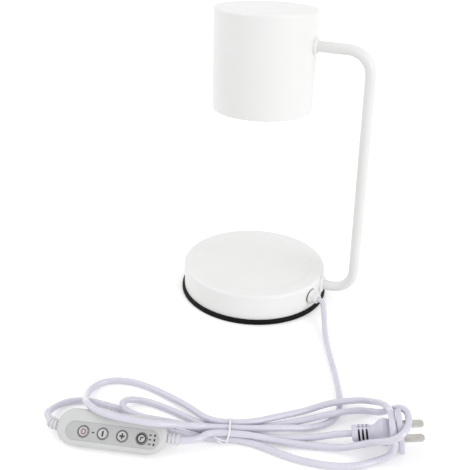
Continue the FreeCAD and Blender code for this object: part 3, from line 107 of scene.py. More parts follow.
def gland_point(radius):
    return V(radius * math.cos(GLAND_AZIMUTH), radius * math.sin(GLAND_AZIMUTH), GLAND_Z)


def control_point(x, y, z):
    """A point in the level frame of the controller's cord reliefs."""
    centre = CONTROL_CENTRE + CONTROL_FRAME @ V(0, 0, -RELIEF_DROP)
    return centre + CONTROL_TURN @ V(x, y, z)


def panel_point(x, y, z):
    """A point in the controller's own frame: x along it, z out of its panel."""
    return CONTROL_CENTRE + CONTROL_FRAME @ V(x, y, z)


def plug_point(x, y, z):
    """A point in the plug's own frame: x from its tail towards its blades."""
    return PLUG_TAIL + PLUG_FRAME @ V(x, y, z)


# --- mesh pieces ------------------------------------------------------------
def skin(bm, rows, closed):
    """Faces between rows of corners, with the last row joined to the first one or both ends capped."""
    for a, b in zip(rows, rows[1:] + rows[:1] if closed else rows[1:]):
        for k in range(len(a)):
            m = (k + 1) % len(a)
            bm.faces.new((a[k], a[m], b[m], b[k]))
    if not closed:
        bm.faces.new(rows[0][::-1])
        bm.faces.new(rows[-1])


def add_piece(name, bm, body):
    """The mesh as a piece that rides on the body."""
    bmesh.ops.recalc_face_normals(bm, faces=bm.faces)
    mesh = bpy.data.meshes.new(name)
    bm.to_mesh(mesh)
    bm.free()
    piece = link(name, mesh)
    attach(piece, body)
    return piece


# --- tie --------------------------------------------------------------------
CORD_RADIUS = 0.0024
TIE_CENTRE = V(0.061, -0.203, 0.00585)
TIE_TURN = turned(21.0, "Z")
TIE_LEAN = 0.22
TIE_HALF_WIDTH = 0.00555
TIE_HALF_HEIGHT = 0.00265
TIE_CORNER_STEPS = 12
TIE_WIDTH = 0.0013
TIE_THICKNESS = 0.0006
TIE_SHARP = 40.0
TIE_WIRE_RADIUS = 0.00042
TIE_WIRE_SIDES = 12
TIE_TAIL_SPACING = 0.0027
TIE_TAIL_STEPS = 14
# The line midway between the two tails: its root, two handles and tip, as x, y, z and splay. A tail lies a
# little higher or lower than that, and splay moves its point to -x by as much as it rises.
TIE_TAIL = ((0, -0.0080, -0.0022, 0), (-0.0005, -0.0100, -0.0030, 0),
            (-0.0040, -0.0102, -0.0014, 0), (-0.0086, -0.0098, 0.0012, 1))


def tie_point(x, y, z):
    """A point in the tie's own frame: x along the hank, z up. The band leans a little to +x at its top."""
    return TIE_CENTRE + TIE_TURN @ V(x + TIE_LEAN * z, y, z)


def hank_outline(offset):
    """Rounded outline across the hank, at the given distance outside the cords' middle lines."""
    points = []
    for corner, (sy, sz) in enumerate(((1, 1), (-1, 1), (-1, -1), (1, -1))):
        for i in range(TIE_CORNER_STEPS + 1):
            turn = math.radians(90.0 * (corner + i / TIE_CORNER_STEPS))
            points.append((sy * TIE_HALF_WIDTH + offset * math.cos(turn),
                           sz * TIE_HALF_HEIGHT + offset * math.sin(turn)))
    return points


def add_wire(bm, path, radius, sides):
    """Closed round wire along a path."""
    rows = []
    for i, point in enumerate(path):
        along = (path[min(i + 1, len(path) - 1)] - path[max(i - 1, 0)]).normalized()
        side = along.cross(V(0, 0, 1)).normalized()
        up = side.cross(along)
        turns = [2 * math.pi * k / sides for k in range(sides)]
        rows.append([bm.verts.new(point + radius * (side * math.cos(turn) + up * math.sin(turn)))
                     for turn in turns])
    skin(bm, rows, closed=False)


def make_tie():
    """Twist tie round the hank: a narrow band with its two wire tails, which stand off to the left."""
    bm = bmesh.new()
    half = TIE_WIDTH / 2
    rows = []
    for (y0, z0), (y1, z1) in zip(hank_outline(CORD_RADIUS), hank_outline(CORD_RADIUS + TIE_THICKNESS)):
        corners = ((-half, y0, z0), (-half, y1, z1), (half, y1, z1), (half, y0, z0))
        rows.append([bm.verts.new(tie_point(*corner)) for corner in corners])
    skin(bm, rows, closed=True)
    for side in (-0.5, 0.5):
        lift = side * TIE_TAIL_SPACING
        root, knee, before, tip = [tie_point(x - splay * lift, y, z + lift) for x, y, z, splay in TIE_TAIL]
        add_wire(bm, interpolate_bezier(root, knee, before, tip, TIE_TAIL_STEPS), TIE_WIRE_RADIUS,
                 TIE_WIRE_SIDES)
    piece = add_piece("tie", bm, "lamp")
    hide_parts("twist_tie")
    piece.data.polygons.foreach_set("use_smooth", [True] * len(piece.data.polygons))
    piece.data.set_sharp_from_angle(angle=math.radians(TIE_SHARP))
    return piece


# --- cords ------------------------------------------------------------------
# Heights of a cord's middle line: on the floor, and in the lower and upper row of the tied hank.
ON_FLOOR = 0.0025
TIE_LOW = 0.0033
TIE_HIGH = 0.0084
LEAD_OUT = 0.005
CORD_STEPS = 8
CORD_ROUND_STEPS = 5


def lamp_cord_points():
    radius = RELIEF_BENT_LENGTH / RELIEF_BEND
    run = V(-math.cos(RELIEF_BEND), math.sin(RELIEF_BEND), 0)
    tip = V(-CONTROL_LENGTH / 2 - radius * math.sin(RELIEF_BEND), radius * (1 - math.cos(RELIEF_BEND)), 0)
    before_tip = tip + run * LEAD_OUT
    return [
        # out of the gland, down to the floor and round to the hank
        gland_point(GLAND_NOSE), gland_point(GLAND_NOSE + LEAD_OUT), V(0.0805, -0.031, 0.0125),
        V(0.0845, -0.041, 0.007), V(0.0897, -0.0557, 0.003), V(0.0995, -0.0783, ON_FLOOR),
        V(0.111, -0.102, ON_FLOOR), V(0.121, -0.125, ON_FLOOR), V(0.1275, -0.146, ON_FLOOR),
        V(0.1245, -0.1605, ON_FLOOR), V(0.113, -0.173, 0.0028), V(0.095, -0.1845, 0.006),
        V(0.074, -0.198, TIE_HIGH), V(0.048, -0.208, TIE_HIGH),
        # over the controller, round the large left loop and back
        V(0.039, -0.216, 0.0125), V(0.03, -0.227, 0.0195), V(0.019, -0.2355, 0.023),
        V(0.005, -0.2395, 0.024), V(-0.01, -0.2418, 0.024), V(-0.0232, -0.2417, 0.0245),
        V(-0.0345, -0.2347, 0.021), V(-0.0432, -0.2249, 0.013), V(-0.0498, -0.2132, 0.0065),
        V(-0.0537, -0.2027, 0.003), V(-0.0508, -0.1917, ON_FLOOR), V(-0.0395, -0.184, ON_FLOOR),
        V(-0.022, -0.181, ON_FLOOR), V(0.002, -0.1845, ON_FLOOR), V(0.024, -0.191, 0.0045),
        V(0.0461, -0.203, TIE_HIGH), V(0.0721, -0.193, TIE_HIGH),
        # to the right and over the plug's head
        V(0.088, -0.1755, 0.0062), V(0.103, -0.16, 0.0042), V(0.119, -0.1475, 0.0084),
        V(0.131, -0.1395, 0.0084), V(0.139, -0.1315, 0.006), V(0.147, -0.13, 0.0065),
        V(0.154, -0.1365, 0.013), V(0.1595, -0.146, 0.02),
        plug_point(0.0279, 0.0105, 0.0095), plug_point(0.0282, 0.003, 0.0138),
        plug_point(0.0282, -0.005, 0.0133), plug_point(0.0282, -0.0108, 0.008),
        plug_point(0.028, -0.0125, -0.001), plug_point(0.026, -0.0135, -0.008),
        # back through the tie, behind the controller and into its left relief
        V(0.163, -0.1845, 0.003), V(0.152, -0.1945, ON_FLOOR), V(0.136, -0.202, ON_FLOOR),
        V(0.108, -0.2065, ON_FLOOR), V(0.0759, -0.203, TIE_LOW), V(0.0499, -0.213, TIE_LOW),
        V(0.03, -0.2175, ON_FLOOR), V(0.005, -0.2145, ON_FLOOR), V(-0.02, -0.2126, ON_FLOOR),
        V(-0.038, -0.2135, ON_FLOOR), V(-0.0508, -0.216, ON_FLOOR), V(-0.0596, -0.2204, ON_FLOOR),
        V(-0.0643, -0.2275, 0.003), V(-0.0647, -0.2361, 0.0055), V(-0.0627, -0.244, 0.009),
        control_point(*before_tip), control_point(*tip)]


def mains_cord_points():
    tip = CONTROL_LENGTH / 2 + RELIEF_LENGTH
    return [
        # out of the right relief, through the tie and to the plug
        control_point(tip, 0, 0), control_point(tip + LEAD_OUT, 0, 0), V(0.0485, -0.221, 0.0092),
        V(0.0499, -0.213, TIE_HIGH), V(0.0759, -0.203, TIE_HIGH), V(0.098, -0.1965, 0.0044),
        V(0.122, -0.188, ON_FLOOR), V(0.141, -0.1835, 0.0045),
        # round the plug's head, over its blades
        plug_point(0.01, -0.0105, 0.0005), plug_point(0.018, -0.0133, 0.0035),
        plug_point(0.0273, -0.0166, 0.0074), plug_point(0.0338, -0.0146, 0.0099),
        plug_point(0.0384, -0.008, 0.0113), plug_point(0.0396, 0, 0.0118),
        plug_point(0.0384, 0.008, 0.0115), plug_point(0.0336, 0.014, 0.0095),
        # back through the tie
        V(0.163, -0.144, 0.0155), V(0.156, -0.1395, 0.0065), V(0.148, -0.1385, 0.004),
        V(0.1405, -0.142, 0.005), V(0.131, -0.1525, 0.0084), V(0.1195, -0.1615, 0.0082),
        V(0.105, -0.17, 0.0045), V(0.09, -0.18, 0.0028), V(0.0721, -0.193, TIE_LOW),
        V(0.0461, -0.203, TIE_LOW),
        # round the small left loop
        V(0.028, -0.2005, ON_FLOOR), V(0.012, -0.1978, ON_FLOOR), V(-0.004, -0.1968, ON_FLOOR),
        V(-0.015, -0.1988, 0.003), V(-0.021, -0.205, 0.0056), V(-0.0205, -0.2125, 0.008),
        V(-0.0125, -0.2185, 0.0082), V(0.002, -0.219, 0.0082), V(0.016, -0.2155, 0.0082),
        V(0.031, -0.211, 0.0055), V(0.048, -0.208, TIE_LOW), V(0.074, -0.198, TIE_LOW),
        # and into the plug's tail
        V(0.098, -0.1915, ON_FLOOR), V(0.118, -0.1815, 0.0034), plug_point(-0.01, 0, 0),
        plug_point(0, 0, 0)]


def cord_curve(name, points):
    """A smooth round cord; its bevel is 1, so a point's radius is the cord's."""
    data = bpy.data.curves.new(name, "CURVE")
    data.dimensions = "3D"
    spline = data.splines.new("NURBS")
    spline.points.add(len(points) - 1)
    for target, point in zip(spline.points, points):
        target.co = (*point, 1.0)
        target.radius = CORD_RADIUS
    spline.order_u = 3
    spline.use_endpoint_u = True
    spline.resolution_u = CORD_STEPS
    data.bevel_depth = 1.0
    data.bevel_resolution = CORD_ROUND_STEPS
    data.use_fill_caps = True
    return link(name, data)


def make_cords():
    tie = make_tie()
    lamp = cord_curve("lamp_cord", lamp_cord_points())
    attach(lamp, "lamp")
    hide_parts("cord_lamp")
    mains = cord_curve("mains_cord", mains_cord_points())
    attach(mains, "lamp")
    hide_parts("cord_mains")
    controller = [n for n in NODES if n.startswith(("controller_", "button_"))]
    controller += ["panel_lights", "relief_left", "relief_right"]
    return lamp, mains, tie


lamp_cord, mains_cord, tie = make_cords()


# --- materials --------------------------------------------------------------
MIX_FACTOR, MIX_A, MIX_B, MIX_RESULT = 0, 6, 7, 2
# Noise lies mostly within 0.3 to 0.7, so a range is widened by this share at both ends for it to be filled.
SPREAD_MARGIN = 0.75
PATCH_DETAIL = 4.0
# Wear and the soft part of the relief are noise of a coarser scale than the grain.
WEAR_SCALE = 0.13
WEAR_DETAIL = 4.0
SOFT_SCALE = 0.22
SOFT_DETAIL = 2.0
SOFT_STRENGTH = 0.5
SOFT_RELIEF = 2.0
GRAIN_DETAIL = 3.0
GRAIN_ROUGH = 0.6
GRAIN_STRENGTH = 0.6
SPECK_CORE = 0.6
DEPTH_SCALE = 0.002
INK_TINT_GAIN = 1.25
INK_TINT_LIFT = 0.01
INK_SMOOTHER = 0.08
INK_ROUGHER = 0.12
INK_PATCH = 900.0
INK_GRAIN = 4000.0
INK_RELIEF = 0.000006


def rgba(colour):
    return (*colour, 1.0)


def set_inputs(tree, node, inputs):
    """Sets each input to its value, or links it where the value is another node's socket."""
    for key, value in inputs.items():
        if isinstance(value, bpy.types.NodeSocket):
            tree.links.new(value, node.inputs[key])
        else:
            node.inputs[key].default_value = value


def add_node(tree, kind, inputs, **settings):
    node = tree.nodes.new(kind)
    for name, value in settings.items():
        setattr(node, name, value)
    set_inputs(tree, node, inputs)
    return node


def noise(tree, coords, scale, detail, rough=0.55):
    inputs = {"Vector": coords, "Scale": scale, "Detail": detail, "Roughness": rough}
    return add_node(tree, "ShaderNodeTexNoise", inputs).outputs["Fac"]


def spread(tree, value, low, high):
    """The noise value spread over low to high."""
    margin = SPREAD_MARGIN * (high - low)
    inputs = {"Value": value, "To Min": low - margin, "To Max": high + margin}
    return add_node(tree, "ShaderNodeMapRange", inputs).outputs["Result"]


def blend_colours(tree, factor, first, second):
    inputs = {MIX_FACTOR: factor, MIX_A: first, MIX_B: second}
    return add_node(tree, "ShaderNodeMix", inputs, data_type="RGBA").outputs[MIX_RESULT]


def bump(tree, height, strength, distance, after=None):
    inputs = {"Height": height, "Strength": strength, "Distance": distance}
    if after is not None:
        inputs["Normal"] = after
    return add_node(tree, "ShaderNodeBump", inputs).outputs["Normal"]


def dots(tree, coords, scale, size):
    """1 in round dots of the given size in a cell, soft at their edges, and 0 between them."""
    cells = add_node(tree, "ShaderNodeTexVoronoi", {"Vector": coords, "Scale": scale})
    inputs = {"Value": cells.outputs["Distance"], "From Min": size, "From Max": size * SPECK_CORE}
    return add_node(tree, "ShaderNodeMapRange", inputs).outputs["Result"]


def material(name, colour, tint, rough, patch, grain, relief, metal=0.0, coat=0.0, coat_rough=0.1,
             stretch=None, speck=None, clear=0.0, depth=0.0, depth_colour=None, ior=1.5):
    """Principled material: colour that drifts towards tint in soft patches, roughness that varies within
    rough, and a fine relief, in metres. patch and grain are scales per metre, stretch draws the grain out,
    speck adds dots of a colour, scale and size, clear is for glass, and depth lets light in under the
    surface."""
    mat = bpy.data.materials.new(name)
    mat.use_nodes = True
    tree = mat.node_tree
    place = add_node(tree, "ShaderNodeTexCoord", {}).outputs["Object"]
    fine_place = place
    if stretch:
        mapping = add_node(tree, "ShaderNodeMapping", {"Vector": place, "Scale": stretch})
        fine_place = mapping.outputs["Vector"]
    patches = noise(tree, place, patch, PATCH_DETAIL)
    base = blend_colours(tree, spread(tree, patches, 0.0, 1.0), rgba(colour), rgba(tint))
    if speck:
        speck_colour, speck_scale, speck_size = speck
        base = blend_colours(tree, dots(tree, place, speck_scale, speck_size), base, rgba(speck_colour))
    wear = noise(tree, fine_place, grain * WEAR_SCALE, WEAR_DETAIL)
    soft = noise(tree, place, grain * SOFT_SCALE, SOFT_DETAIL)
    fine = noise(tree, fine_place, grain, GRAIN_DETAIL, GRAIN_ROUGH)
    soft_normal = bump(tree, soft, SOFT_STRENGTH, relief * SOFT_RELIEF)
    inputs = {"Base Color": base, "Roughness": spread(tree, wear, *rough),
              "Normal": bump(tree, fine, GRAIN_STRENGTH, relief, soft_normal),
              "Metallic": metal, "IOR": ior, "Coat Weight": coat, "Coat Roughness": coat_rough,
              "Transmission Weight": clear}
    if depth:
        inputs["Subsurface Weight"] = depth
        inputs["Subsurface Radius"] = depth_colour
        inputs["Subsurface Scale"] = DEPTH_SCALE
    set_inputs(tree, tree.nodes["Principled BSDF"], inputs)
    return mat


def ink(name, colour, rough=0.5):
    """Printed ink, the finish of a small dark part, or painted shade, of a nearly even colour."""
    return material(name, colour, tint=[c * INK_TINT_GAIN + INK_TINT_LIFT for c in colour],
                    rough=(rough - INK_SMOOTHER, rough + INK_ROUGHER), patch=INK_PATCH, grain=INK_GRAIN,
                    relief=INK_RELIEF)


FINISHES = {
    "white_paint": dict(
        colour=(0.845, 0.845, 0.835), tint=(0.87, 0.87, 0.865), rough=(0.36, 0.48),
        patch=14.0, grain=1100.0, relief=0.000018, coat=0.25, coat_rough=0.18),
    # A darker copy of white_paint for the arm tube: painted shade.
    "arm_paint_shaded": dict(
        colour=(0.805, 0.805, 0.795), tint=(0.83, 0.83, 0.825), rough=(0.36, 0.48),
        patch=14.0, grain=1100.0, relief=0.000018, coat=0.25, coat_rough=0.18),
    "foot_rubber": dict(
        colour=(0.004, 0.004, 0.004), tint=(0.009, 0.009, 0.009), rough=(0.42, 0.62),
        patch=120.0, grain=3500.0, relief=0.00003, speck=((0.05, 0.05, 0.05), 900.0, 0.10), ior=1.2),
    "zinc_steel": dict(
        colour=(0.60, 0.61, 0.63), tint=(0.70, 0.70, 0.69), rough=(0.24, 0.42),
        patch=90.0, grain=2200.0, relief=0.00002, metal=1.0, stretch=(0.15, 1.0, 1.0)),
    "weight_iron": dict(
        colour=(0.09, 0.088, 0.086), tint=(0.14, 0.125, 0.11), rough=(0.62, 0.85),
        patch=70.0, grain=700.0, relief=0.00012, metal=0.6),
    "brass_nipple": dict(
        colour=(0.66, 0.48, 0.22), tint=(0.74, 0.56, 0.30), rough=(0.22, 0.40),
        patch=150.0, grain=2500.0, relief=0.00002, metal=1.0),
    "holder_ceramic": dict(
        colour=(0.80, 0.79, 0.75), tint=(0.86, 0.85, 0.82), rough=(0.14, 0.30),
        patch=110.0, grain=900.0, relief=0.00002, coat=0.5, coat_rough=0.08,
        speck=((0.55, 0.50, 0.44), 420.0, 0.07)),
    "bulb_mirror": dict(
        colour=(0.82, 0.82, 0.82), tint=(0.88, 0.87, 0.86), rough=(0.05, 0.14),
        patch=60.0, grain=1300.0, relief=0.00001, metal=1.0),
    "bulb_glass": dict(
        colour=(0.96, 0.97, 0.97), tint=(0.98, 0.98, 0.98), rough=(0.02, 0.06),
        patch=60.0, grain=500.0, relief=0.00001, clear=1.0),
    "bulb_ceramic": dict(
        colour=(0.80, 0.79, 0.76), tint=(0.85, 0.84, 0.81), rough=(0.50, 0.66),
        patch=160.0, grain=1800.0, relief=0.00003),
    "gland_plastic": dict(
        colour=(0.80, 0.80, 0.80), tint=(0.84, 0.84, 0.84), rough=(0.28, 0.40),
        patch=160.0, grain=2600.0, relief=0.00002),
    "cord_pvc": dict(
        colour=(0.65, 0.635, 0.73), tint=(0.705, 0.69, 0.78), rough=(0.20, 0.27),
        patch=55.0, grain=1500.0, relief=0.00002, coat=0.6, coat_rough=0.12,
        depth=0.12, depth_colour=(0.9, 0.9, 1.0)),
    "relief_pvc": dict(
        colour=(0.69, 0.68, 0.715), tint=(0.735, 0.73, 0.755), rough=(0.36, 0.50),
        patch=55.0, grain=1500.0, relief=0.00002, coat=0.12, coat_rough=0.3,
        depth=0.12, depth_colour=(0.9, 0.9, 1.0)),
    "wire_sleeve": dict(
        colour=(0.74, 0.73, 0.70), tint=(0.80, 0.79, 0.76), rough=(0.45, 0.60),
        patch=300.0, grain=4000.0, relief=0.00002),
    "tie_plastic": dict(
        colour=(0.83, 0.83, 0.85), tint=(0.87, 0.87, 0.88), rough=(0.30, 0.42),
        patch=300.0, grain=3000.0, relief=0.00002),
    "housing_plastic": dict(
        colour=(0.615, 0.62, 0.62), tint=(0.645, 0.65, 0.65), rough=(0.42, 0.55),
        patch=45.0, grain=3400.0, relief=0.00003),
    "panel_plastic": dict(
        colour=(0.49, 0.493, 0.495), tint=(0.515, 0.518, 0.52), rough=(0.50, 0.62),
        patch=60.0, grain=4200.0, relief=0.000015),
    "button_plastic": dict(
        colour=(0.57, 0.57, 0.575), tint=(0.60, 0.60, 0.605), rough=(0.34, 0.46),
        patch=120.0, grain=3000.0, relief=0.000015),
    "board_laminate": dict(
        colour=(0.03, 0.16, 0.06), tint=(0.05, 0.22, 0.09), rough=(0.28, 0.42),
        patch=240.0, grain=1600.0, relief=0.00002, speck=((0.55, 0.45, 0.25), 380.0, 0.16)),
    "switch_plastic": dict(
        colour=(0.02, 0.02, 0.021), tint=(0.035, 0.035, 0.036), rough=(0.35, 0.5),
        patch=400.0, grain=3000.0, relief=0.00002),
    "light_plastic": dict(
        colour=(0.13, 0.13, 0.135), tint=(0.18, 0.18, 0.185), rough=(0.14, 0.24),
        patch=600.0, grain=3000.0, relief=0.00001, coat=0.3),
    "plug_pvc": dict(
        colour=(0.645, 0.63, 0.725), tint=(0.69, 0.675, 0.76), rough=(0.34, 0.50),
        patch=70.0, grain=2200.0, relief=0.00003, coat=0.12, coat_rough=0.3,
        depth=0.1, depth_colour=(0.8, 0.8, 1.0)),
    "blade_nickel": dict(
        colour=(0.53, 0.505, 0.475), tint=(0.61, 0.585, 0.56), rough=(0.22, 0.38),
        patch=180.0, grain=2600.0, relief=0.00001, metal=1.0, stretch=(1.0, 0.2, 1.0)),
}
MATERIALS = {name: material(name, **finish) for name, finish in FINISHES.items()}
INK_DARK = ink("ink_dark", (0.035, 0.035, 0.038))
INK_RED = ink("ink_red", (0.27, 0.10, 0.135))
# Painted shade for the plug's slots.
SLOT_PAINTED_SHADE = ink("slot_painted_shade", (0.03, 0.025, 0.045), 0.7)
# Painted shadow round the cord gland's flange.
GLAND_SHADOW_GREY = ink("gland_shadow_grey", (0.07, 0.07, 0.072), 0.6)

# Nodes with a material other than their slot's. The arm's is a darker copy of the white paint: painted
# shade.
OWN_MATERIALS = {"arm_tube": "arm_paint_shaded", "relief_left": "relief_pvc", "relief_right": "relief_pvc"}
FLAT_AREA_FACES = 8
NODE_SHARP = 24.0
GRIP_RADIUS = 0.0058
SLOTS_FROM = 0.0040
SLOTS_TO = 0.0113
SLOT_HALF_HEIGHT = 0.0045
SLOT_MARGIN = 0.0004


def curved_faces(mesh):
    """For each face of a mesh, whether it is shaded smooth: all but the flat areas made of many faces."""
    planes = {}
    keys = []
    for face in mesh.polygons:
        normal = face.normal
        key = (*[round(c, 3) for c in normal], round(normal.dot(face.center), 5))
        keys.append(key)
        planes[key] = planes.get(key, 0) + 1
    return [planes[key] < FLAT_AREA_FACES for key in keys]


def dress_nodes():
    """Gives each node of the model its material, and smooth shading away from its edges."""
    slots = {part["node"]: part["material_slot"] for part in frame["record"]["subparts"]}
    for name, node in NODES.items():
        mesh = node.data
        mesh.materials.clear()
        mesh.materials.append(MATERIALS[OWN_MATERIALS.get(name, slots[name])])
        mesh.polygons.foreach_set("use_smooth", curved_faces(mesh))
        mesh.set_sharp_from_angle(angle=math.radians(NODE_SHARP))


def paint_plug_slot_shade():
    """Paints shade on the walls and floors of the slots in the plug's tail: a dark material as painted
    shade.
    """
    mesh = NODES["plug_body"].data
    mesh.materials.append(SLOT_PAINTED_SHADE)
    back = PLUG_FRAME.inverted()
    for face in mesh.polygons:
        x, y, z = back @ (face.center - PLUG_TAIL)
        inside = math.hypot(y, z) < GRIP_RADIUS - SLOT_MARGIN and abs(z) < SLOT_HALF_HEIGHT
        if SLOTS_FROM < x < SLOTS_TO and inside:
            face.material_index = 1


dress_nodes()
paint_plug_slot_shade()
for cord in (lamp_cord, mains_cord):
    cord.data.materials.append(MATERIALS["cord_pvc"])
tie.data.materials.append(MATERIALS["tie_plastic"])


# --- printed signs ----------------------------------------------------------
INK_HEIGHT = 0.00004
BUTTONS = {"power": -0.01896, "minus": -0.00526, "plus": 0.00844, "timer": 0.02214}
PANEL_ROW = -0.0030
PANEL_FACE = 0.0027
BUTTON_TOP = 0.0032
DISH_DEPTH = 0.00025
RING_STEPS = 48
# Radius and line width of the ring on a button's rim, and of the thin line round its hole in the panel.
RIM = (0.00333, 0.00046)
TIMER_RIM = (0.00294, 0.00124)
EDGE = (0.00411, 0.00018)
LIGHT_POWER_X = -0.01211
LIGHT_LEFT_X = 0.02784
LIGHT_RIGHT_X = 0.03094
LIGHT_PITCH = 0.0030
# Half length and line width of the marks on the lights.
LIGHT_POWER_MARK = (0.0009, 0.0008)
LIGHT_LEFT_MARK = (0.0008, 0.0009)
LIGHT_RIGHT_MARK = (0.0008, 0.0013)


def arc(radius, start, end, steps):
    turns = [math.radians(start + (end - start) * i / steps) for i in range(steps + 1)]
    return [(radius * math.cos(turn), radius * math.sin(turn)) for turn in turns]


def ring(radius):
    """A full circle, whose last point is its first one."""
    points = arc(radius, 0.0, 360.0, RING_STEPS)
    return points[:-1] + points[:1]


# The sign in each button's dish: its ink, its line width, and its lines round the button's centre.
SIGNS = {
    "power": (INK_RED, 0.00080, [arc(0.00155, -150, 150, 32), [(-0.0020, 0), (-0.0004, 0)]]),
    "minus": (INK_DARK, 0.00130, [[(0, -0.0018), (0, 0.0018)]]),
    "plus": (INK_DARK, 0.00112, [[(0, -0.0019), (0, 0.0019)], [(-0.0019, 0), (-0.00056, 0)],
                                 [(0.00056, 0), (0.0019, 0)]]),
    "timer": (INK_DARK, 0.00105, [[(-0.0007, -0.0013), (-0.0007, 0.0008), (0.0012, 0.0008)]]),
}


def add_line(bm, points, width, low, place):
    """A printed line of even width along the points, as a thin closed prism."""
    closed = points[0] == points[-1]
    rows = []
    for i, (x, y) in enumerate(points[:-1] if closed else points):
        if closed and i == 0:
            a, b = points[-2], points[1]
        else:
            a, b = points[max(i - 1, 0)], points[min(i + 1, len(points) - 1)]
        dx, dy = b[0] - a[0], b[1] - a[1]
        size = math.hypot(dx, dy)
        nx, ny = -dy / size * width / 2, dx / size * width / 2
        corners = ((x + nx, y + ny, low), (x - nx, y - ny, low),
                   (x - nx, y - ny, low + INK_HEIGHT), (x + nx, y + ny, low + INK_HEIGHT))
        rows.append([bm.verts.new(place(*corner)) for corner in corners])
    skin(bm, rows, closed)


def print_sign(name, lines, width, low, centre_x, mat, body):
    """One printed sign of lines round a centre in the panel's row, at the height of what carries it."""
    def place(x, y, z):
        return panel_point(centre_x + x, PANEL_ROW + y, z)

    bm = bmesh.new()
    for points in lines:
        add_line(bm, points, width, low, place)
    add_piece(name, bm, body).data.materials.append(mat)


def make_signs():
    for name, x in BUTTONS.items():
        radius, width = TIMER_RIM if name == "timer" else RIM
        print_sign("ring_" + name, [ring(radius)], width, BUTTON_TOP, x, INK_DARK, "button_" + name)
        radius, width = EDGE
        print_sign("edge_" + name, [ring(radius)], width, PANEL_FACE, x, INK_DARK, "lamp")
    for name, (mat, width, lines) in SIGNS.items():
        print_sign("sign_" + name, lines, width, BUTTON_TOP - DISH_DEPTH, BUTTONS[name], mat,
                   "button_" + name)
    half, width = LIGHT_POWER_MARK
    print_sign("light_power", [[(-half, 0), (half, 0)]], width, PANEL_FACE, LIGHT_POWER_X, INK_DARK, "lamp")
    for number, y in ((1, -LIGHT_PITCH), (2, 0), (3, LIGHT_PITCH)):
        half, width = LIGHT_LEFT_MARK
        print_sign("light_left_%d" % number, [[(-half, y), (half, y)]], width, PANEL_FACE, LIGHT_LEFT_X,
                   INK_DARK, "lamp")
        half, width = LIGHT_RIGHT_MARK
        print_sign("light_right_%d" % number, [[(0, y - half), (0, y + half)]], width, PANEL_FACE,
                   LIGHT_RIGHT_X, INK_DARK, "lamp")


make_signs()


# --- painted shade of the plug's slots and painted shadow round the gland ----
SLOT_COUNT = 3
SLOT_FIRST = 0.0050
SLOT_PITCH = 0.0027
SLOT_WIDTH = 0.0014
SLOT_END_FROM = 47.0
SLOT_END_TO = 69.0
SLOT_END_STEPS = 10
SLOT_END_TAPER = 0.45
GLAND_FLANGE_RADIUS = 0.0070
SHADOW_RING_RADIUS = 0.00707
SHADOW_RING_DEPTH = 0.0007
SHADOW_RING_STEPS = 72


def make_painted_slot_shade():
    """Painted shade: thin dark strips on the grip that carry the plug's shaded slots on round it, narrowing
    to their tips, front and back.
    """
    for i in range(SLOT_COUNT):
        middle = SLOT_FIRST + SLOT_PITCH * i
        for side, face in (("front", -1), ("back", 1)):
            bm = bmesh.new()
            rows = []
            for step in range(SLOT_END_STEPS + 1):
                share = step / SLOT_END_STEPS
                turn = math.radians(SLOT_END_FROM + (SLOT_END_TO - SLOT_END_FROM) * share)
                half = SLOT_WIDTH / 2 * (1.0 - SLOT_END_TAPER * share ** 3)
                corners = ((-half, GRIP_RADIUS), (half, GRIP_RADIUS),
                           (half, GRIP_RADIUS + INK_HEIGHT), (-half, GRIP_RADIUS + INK_HEIGHT))
                row = [(middle + x, face * r * math.cos(turn), r * math.sin(turn)) for x, r in corners]
                rows.append([bm.verts.new(plug_point(*corner)) for corner in row])
            skin(bm, rows, closed=False)
            name = "slot_%s_%d" % (side, i + 1)
            add_piece(name, bm, "lamp").data.materials.append(SLOT_PAINTED_SHADE)


def make_gland_painted_shadow():
    """Painted shadow: a thin dark ring round the root of the cord gland's flange, against the base's round
    wall.
    """
    bm = bmesh.new()
    facing = Matrix.Rotation(GLAND_AZIMUTH, 3, "Z")
    out = BASE_RADIUS + SHADOW_RING_DEPTH
    rows = []
    for i in range(SHADOW_RING_STEPS):
        turn = 2 * math.pi * i / SHADOW_RING_STEPS
        row = []
        for radius, proud in ((GLAND_FLANGE_RADIUS, False), (GLAND_FLANGE_RADIUS, True),
                              (SHADOW_RING_RADIUS, True), (SHADOW_RING_RADIUS, False)):
            across, up = radius * math.sin(turn), radius * math.cos(turn)
            wall = math.sqrt(BASE_RADIUS ** 2 - across ** 2) + INK_HEIGHT
            row.append(bm.verts.new(facing @ V(out if proud else wall, across, GLAND_Z + up)))
        rows.append(row)
    skin(bm, rows, closed=True)
    add_piece("gland_painted_shadow", bm, "lamp").data.materials.append(GLAND_SHADOW_GREY)


make_painted_slot_shade()
make_gland_painted_shadow()


# --- stage and light --------------------------------------------------------
WHITE = (1, 1, 1, 1)
FLOOR_HALF = 4.0
FLOOR_COLOUR = (0.93, 0.93, 0.93)
FLOOR_ROUGH = 0.9
FLOOR_GLOW = 0.22
WORLD_LIGHT = 0.73
WORLD_SEEN = 1.0


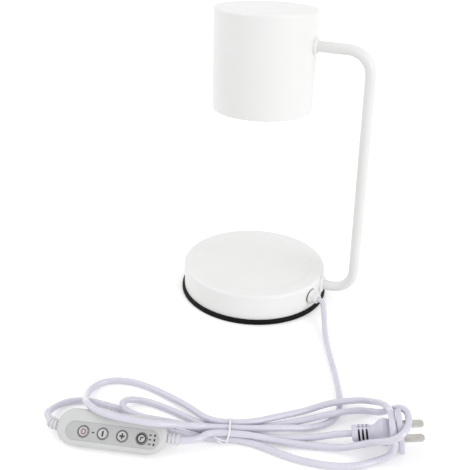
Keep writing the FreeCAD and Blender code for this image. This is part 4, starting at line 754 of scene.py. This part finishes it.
def seen_rays(tree):
    """1 for the rays in which the background is seen: from the camera, in a reflection or through glass."""
    path = add_node(tree, "ShaderNodeLightPath", {})
    result = path.outputs["Is Camera Ray"]
    for kind in ("Is Glossy Ray", "Is Transmission Ray"):
        either = add_node(tree, "ShaderNodeMath", {0: result, 1: path.outputs[kind]}, operation="MAXIMUM")
        result = either.outputs[0]
    return result


def make_floor():
    """Plain pale floor. Where it is seen, a little glow lifts it to white and keeps the lamp's shadow."""
    mesh = bpy.data.meshes.new("floor")
    corners = [(FLOOR_HALF * x, FLOOR_HALF * y, 0) for x, y in ((-1, -1), (1, -1), (1, 1), (-1, 1))]
    mesh.from_pydata(corners, [], [(0, 1, 2, 3)])
    floor = link("floor", mesh)
    mat = bpy.data.materials.new("floor_white")
    mat.use_nodes = True
    tree = mat.node_tree
    glow = add_node(tree, "ShaderNodeMath", {0: seen_rays(tree), 1: FLOOR_GLOW}, operation="MULTIPLY")
    set_inputs(tree, tree.nodes["Principled BSDF"], {
        "Base Color": rgba(FLOOR_COLOUR), "Roughness": FLOOR_ROUGH, "Specular IOR Level": 0.0,
        "Emission Color": WHITE, "Emission Strength": glow.outputs[0]})
    mesh.materials.append(mat)


def make_world():
    world = bpy.data.worlds.new("studio")
    bpy.context.scene.world = world
    world.use_nodes = True
    tree = world.node_tree
    inputs = {"Value": seen_rays(tree), "To Min": WORLD_LIGHT, "To Max": WORLD_SEEN}
    level = add_node(tree, "ShaderNodeMapRange", inputs)
    set_inputs(tree, tree.nodes["Background"], {"Color": WHITE, "Strength": level.outputs["Result"]})


def make_sun(name, azimuth, elevation, strength, angle):
    """Broad parallel light that comes from the given azimuth and elevation, in degrees."""
    data = bpy.data.lights.new(name, "SUN")
    data.energy = strength
    data.angle = math.radians(angle)
    light = link(name, data)
    turn, rise = math.radians(azimuth), math.radians(elevation)
    toward = V(math.cos(turn) * math.cos(rise), math.sin(turn) * math.cos(rise), math.sin(rise))
    light.rotation_euler = toward.to_track_quat("Z", "Y").to_euler()


make_floor()
make_world()
make_sun("key", azimuth=-18.0, elevation=26.0, strength=1.02, angle=40.0)
make_sun("fill", azimuth=-172.0, elevation=42.0, strength=0.68, angle=60.0)
bpy.context.scene.view_settings.view_transform = "Standard"
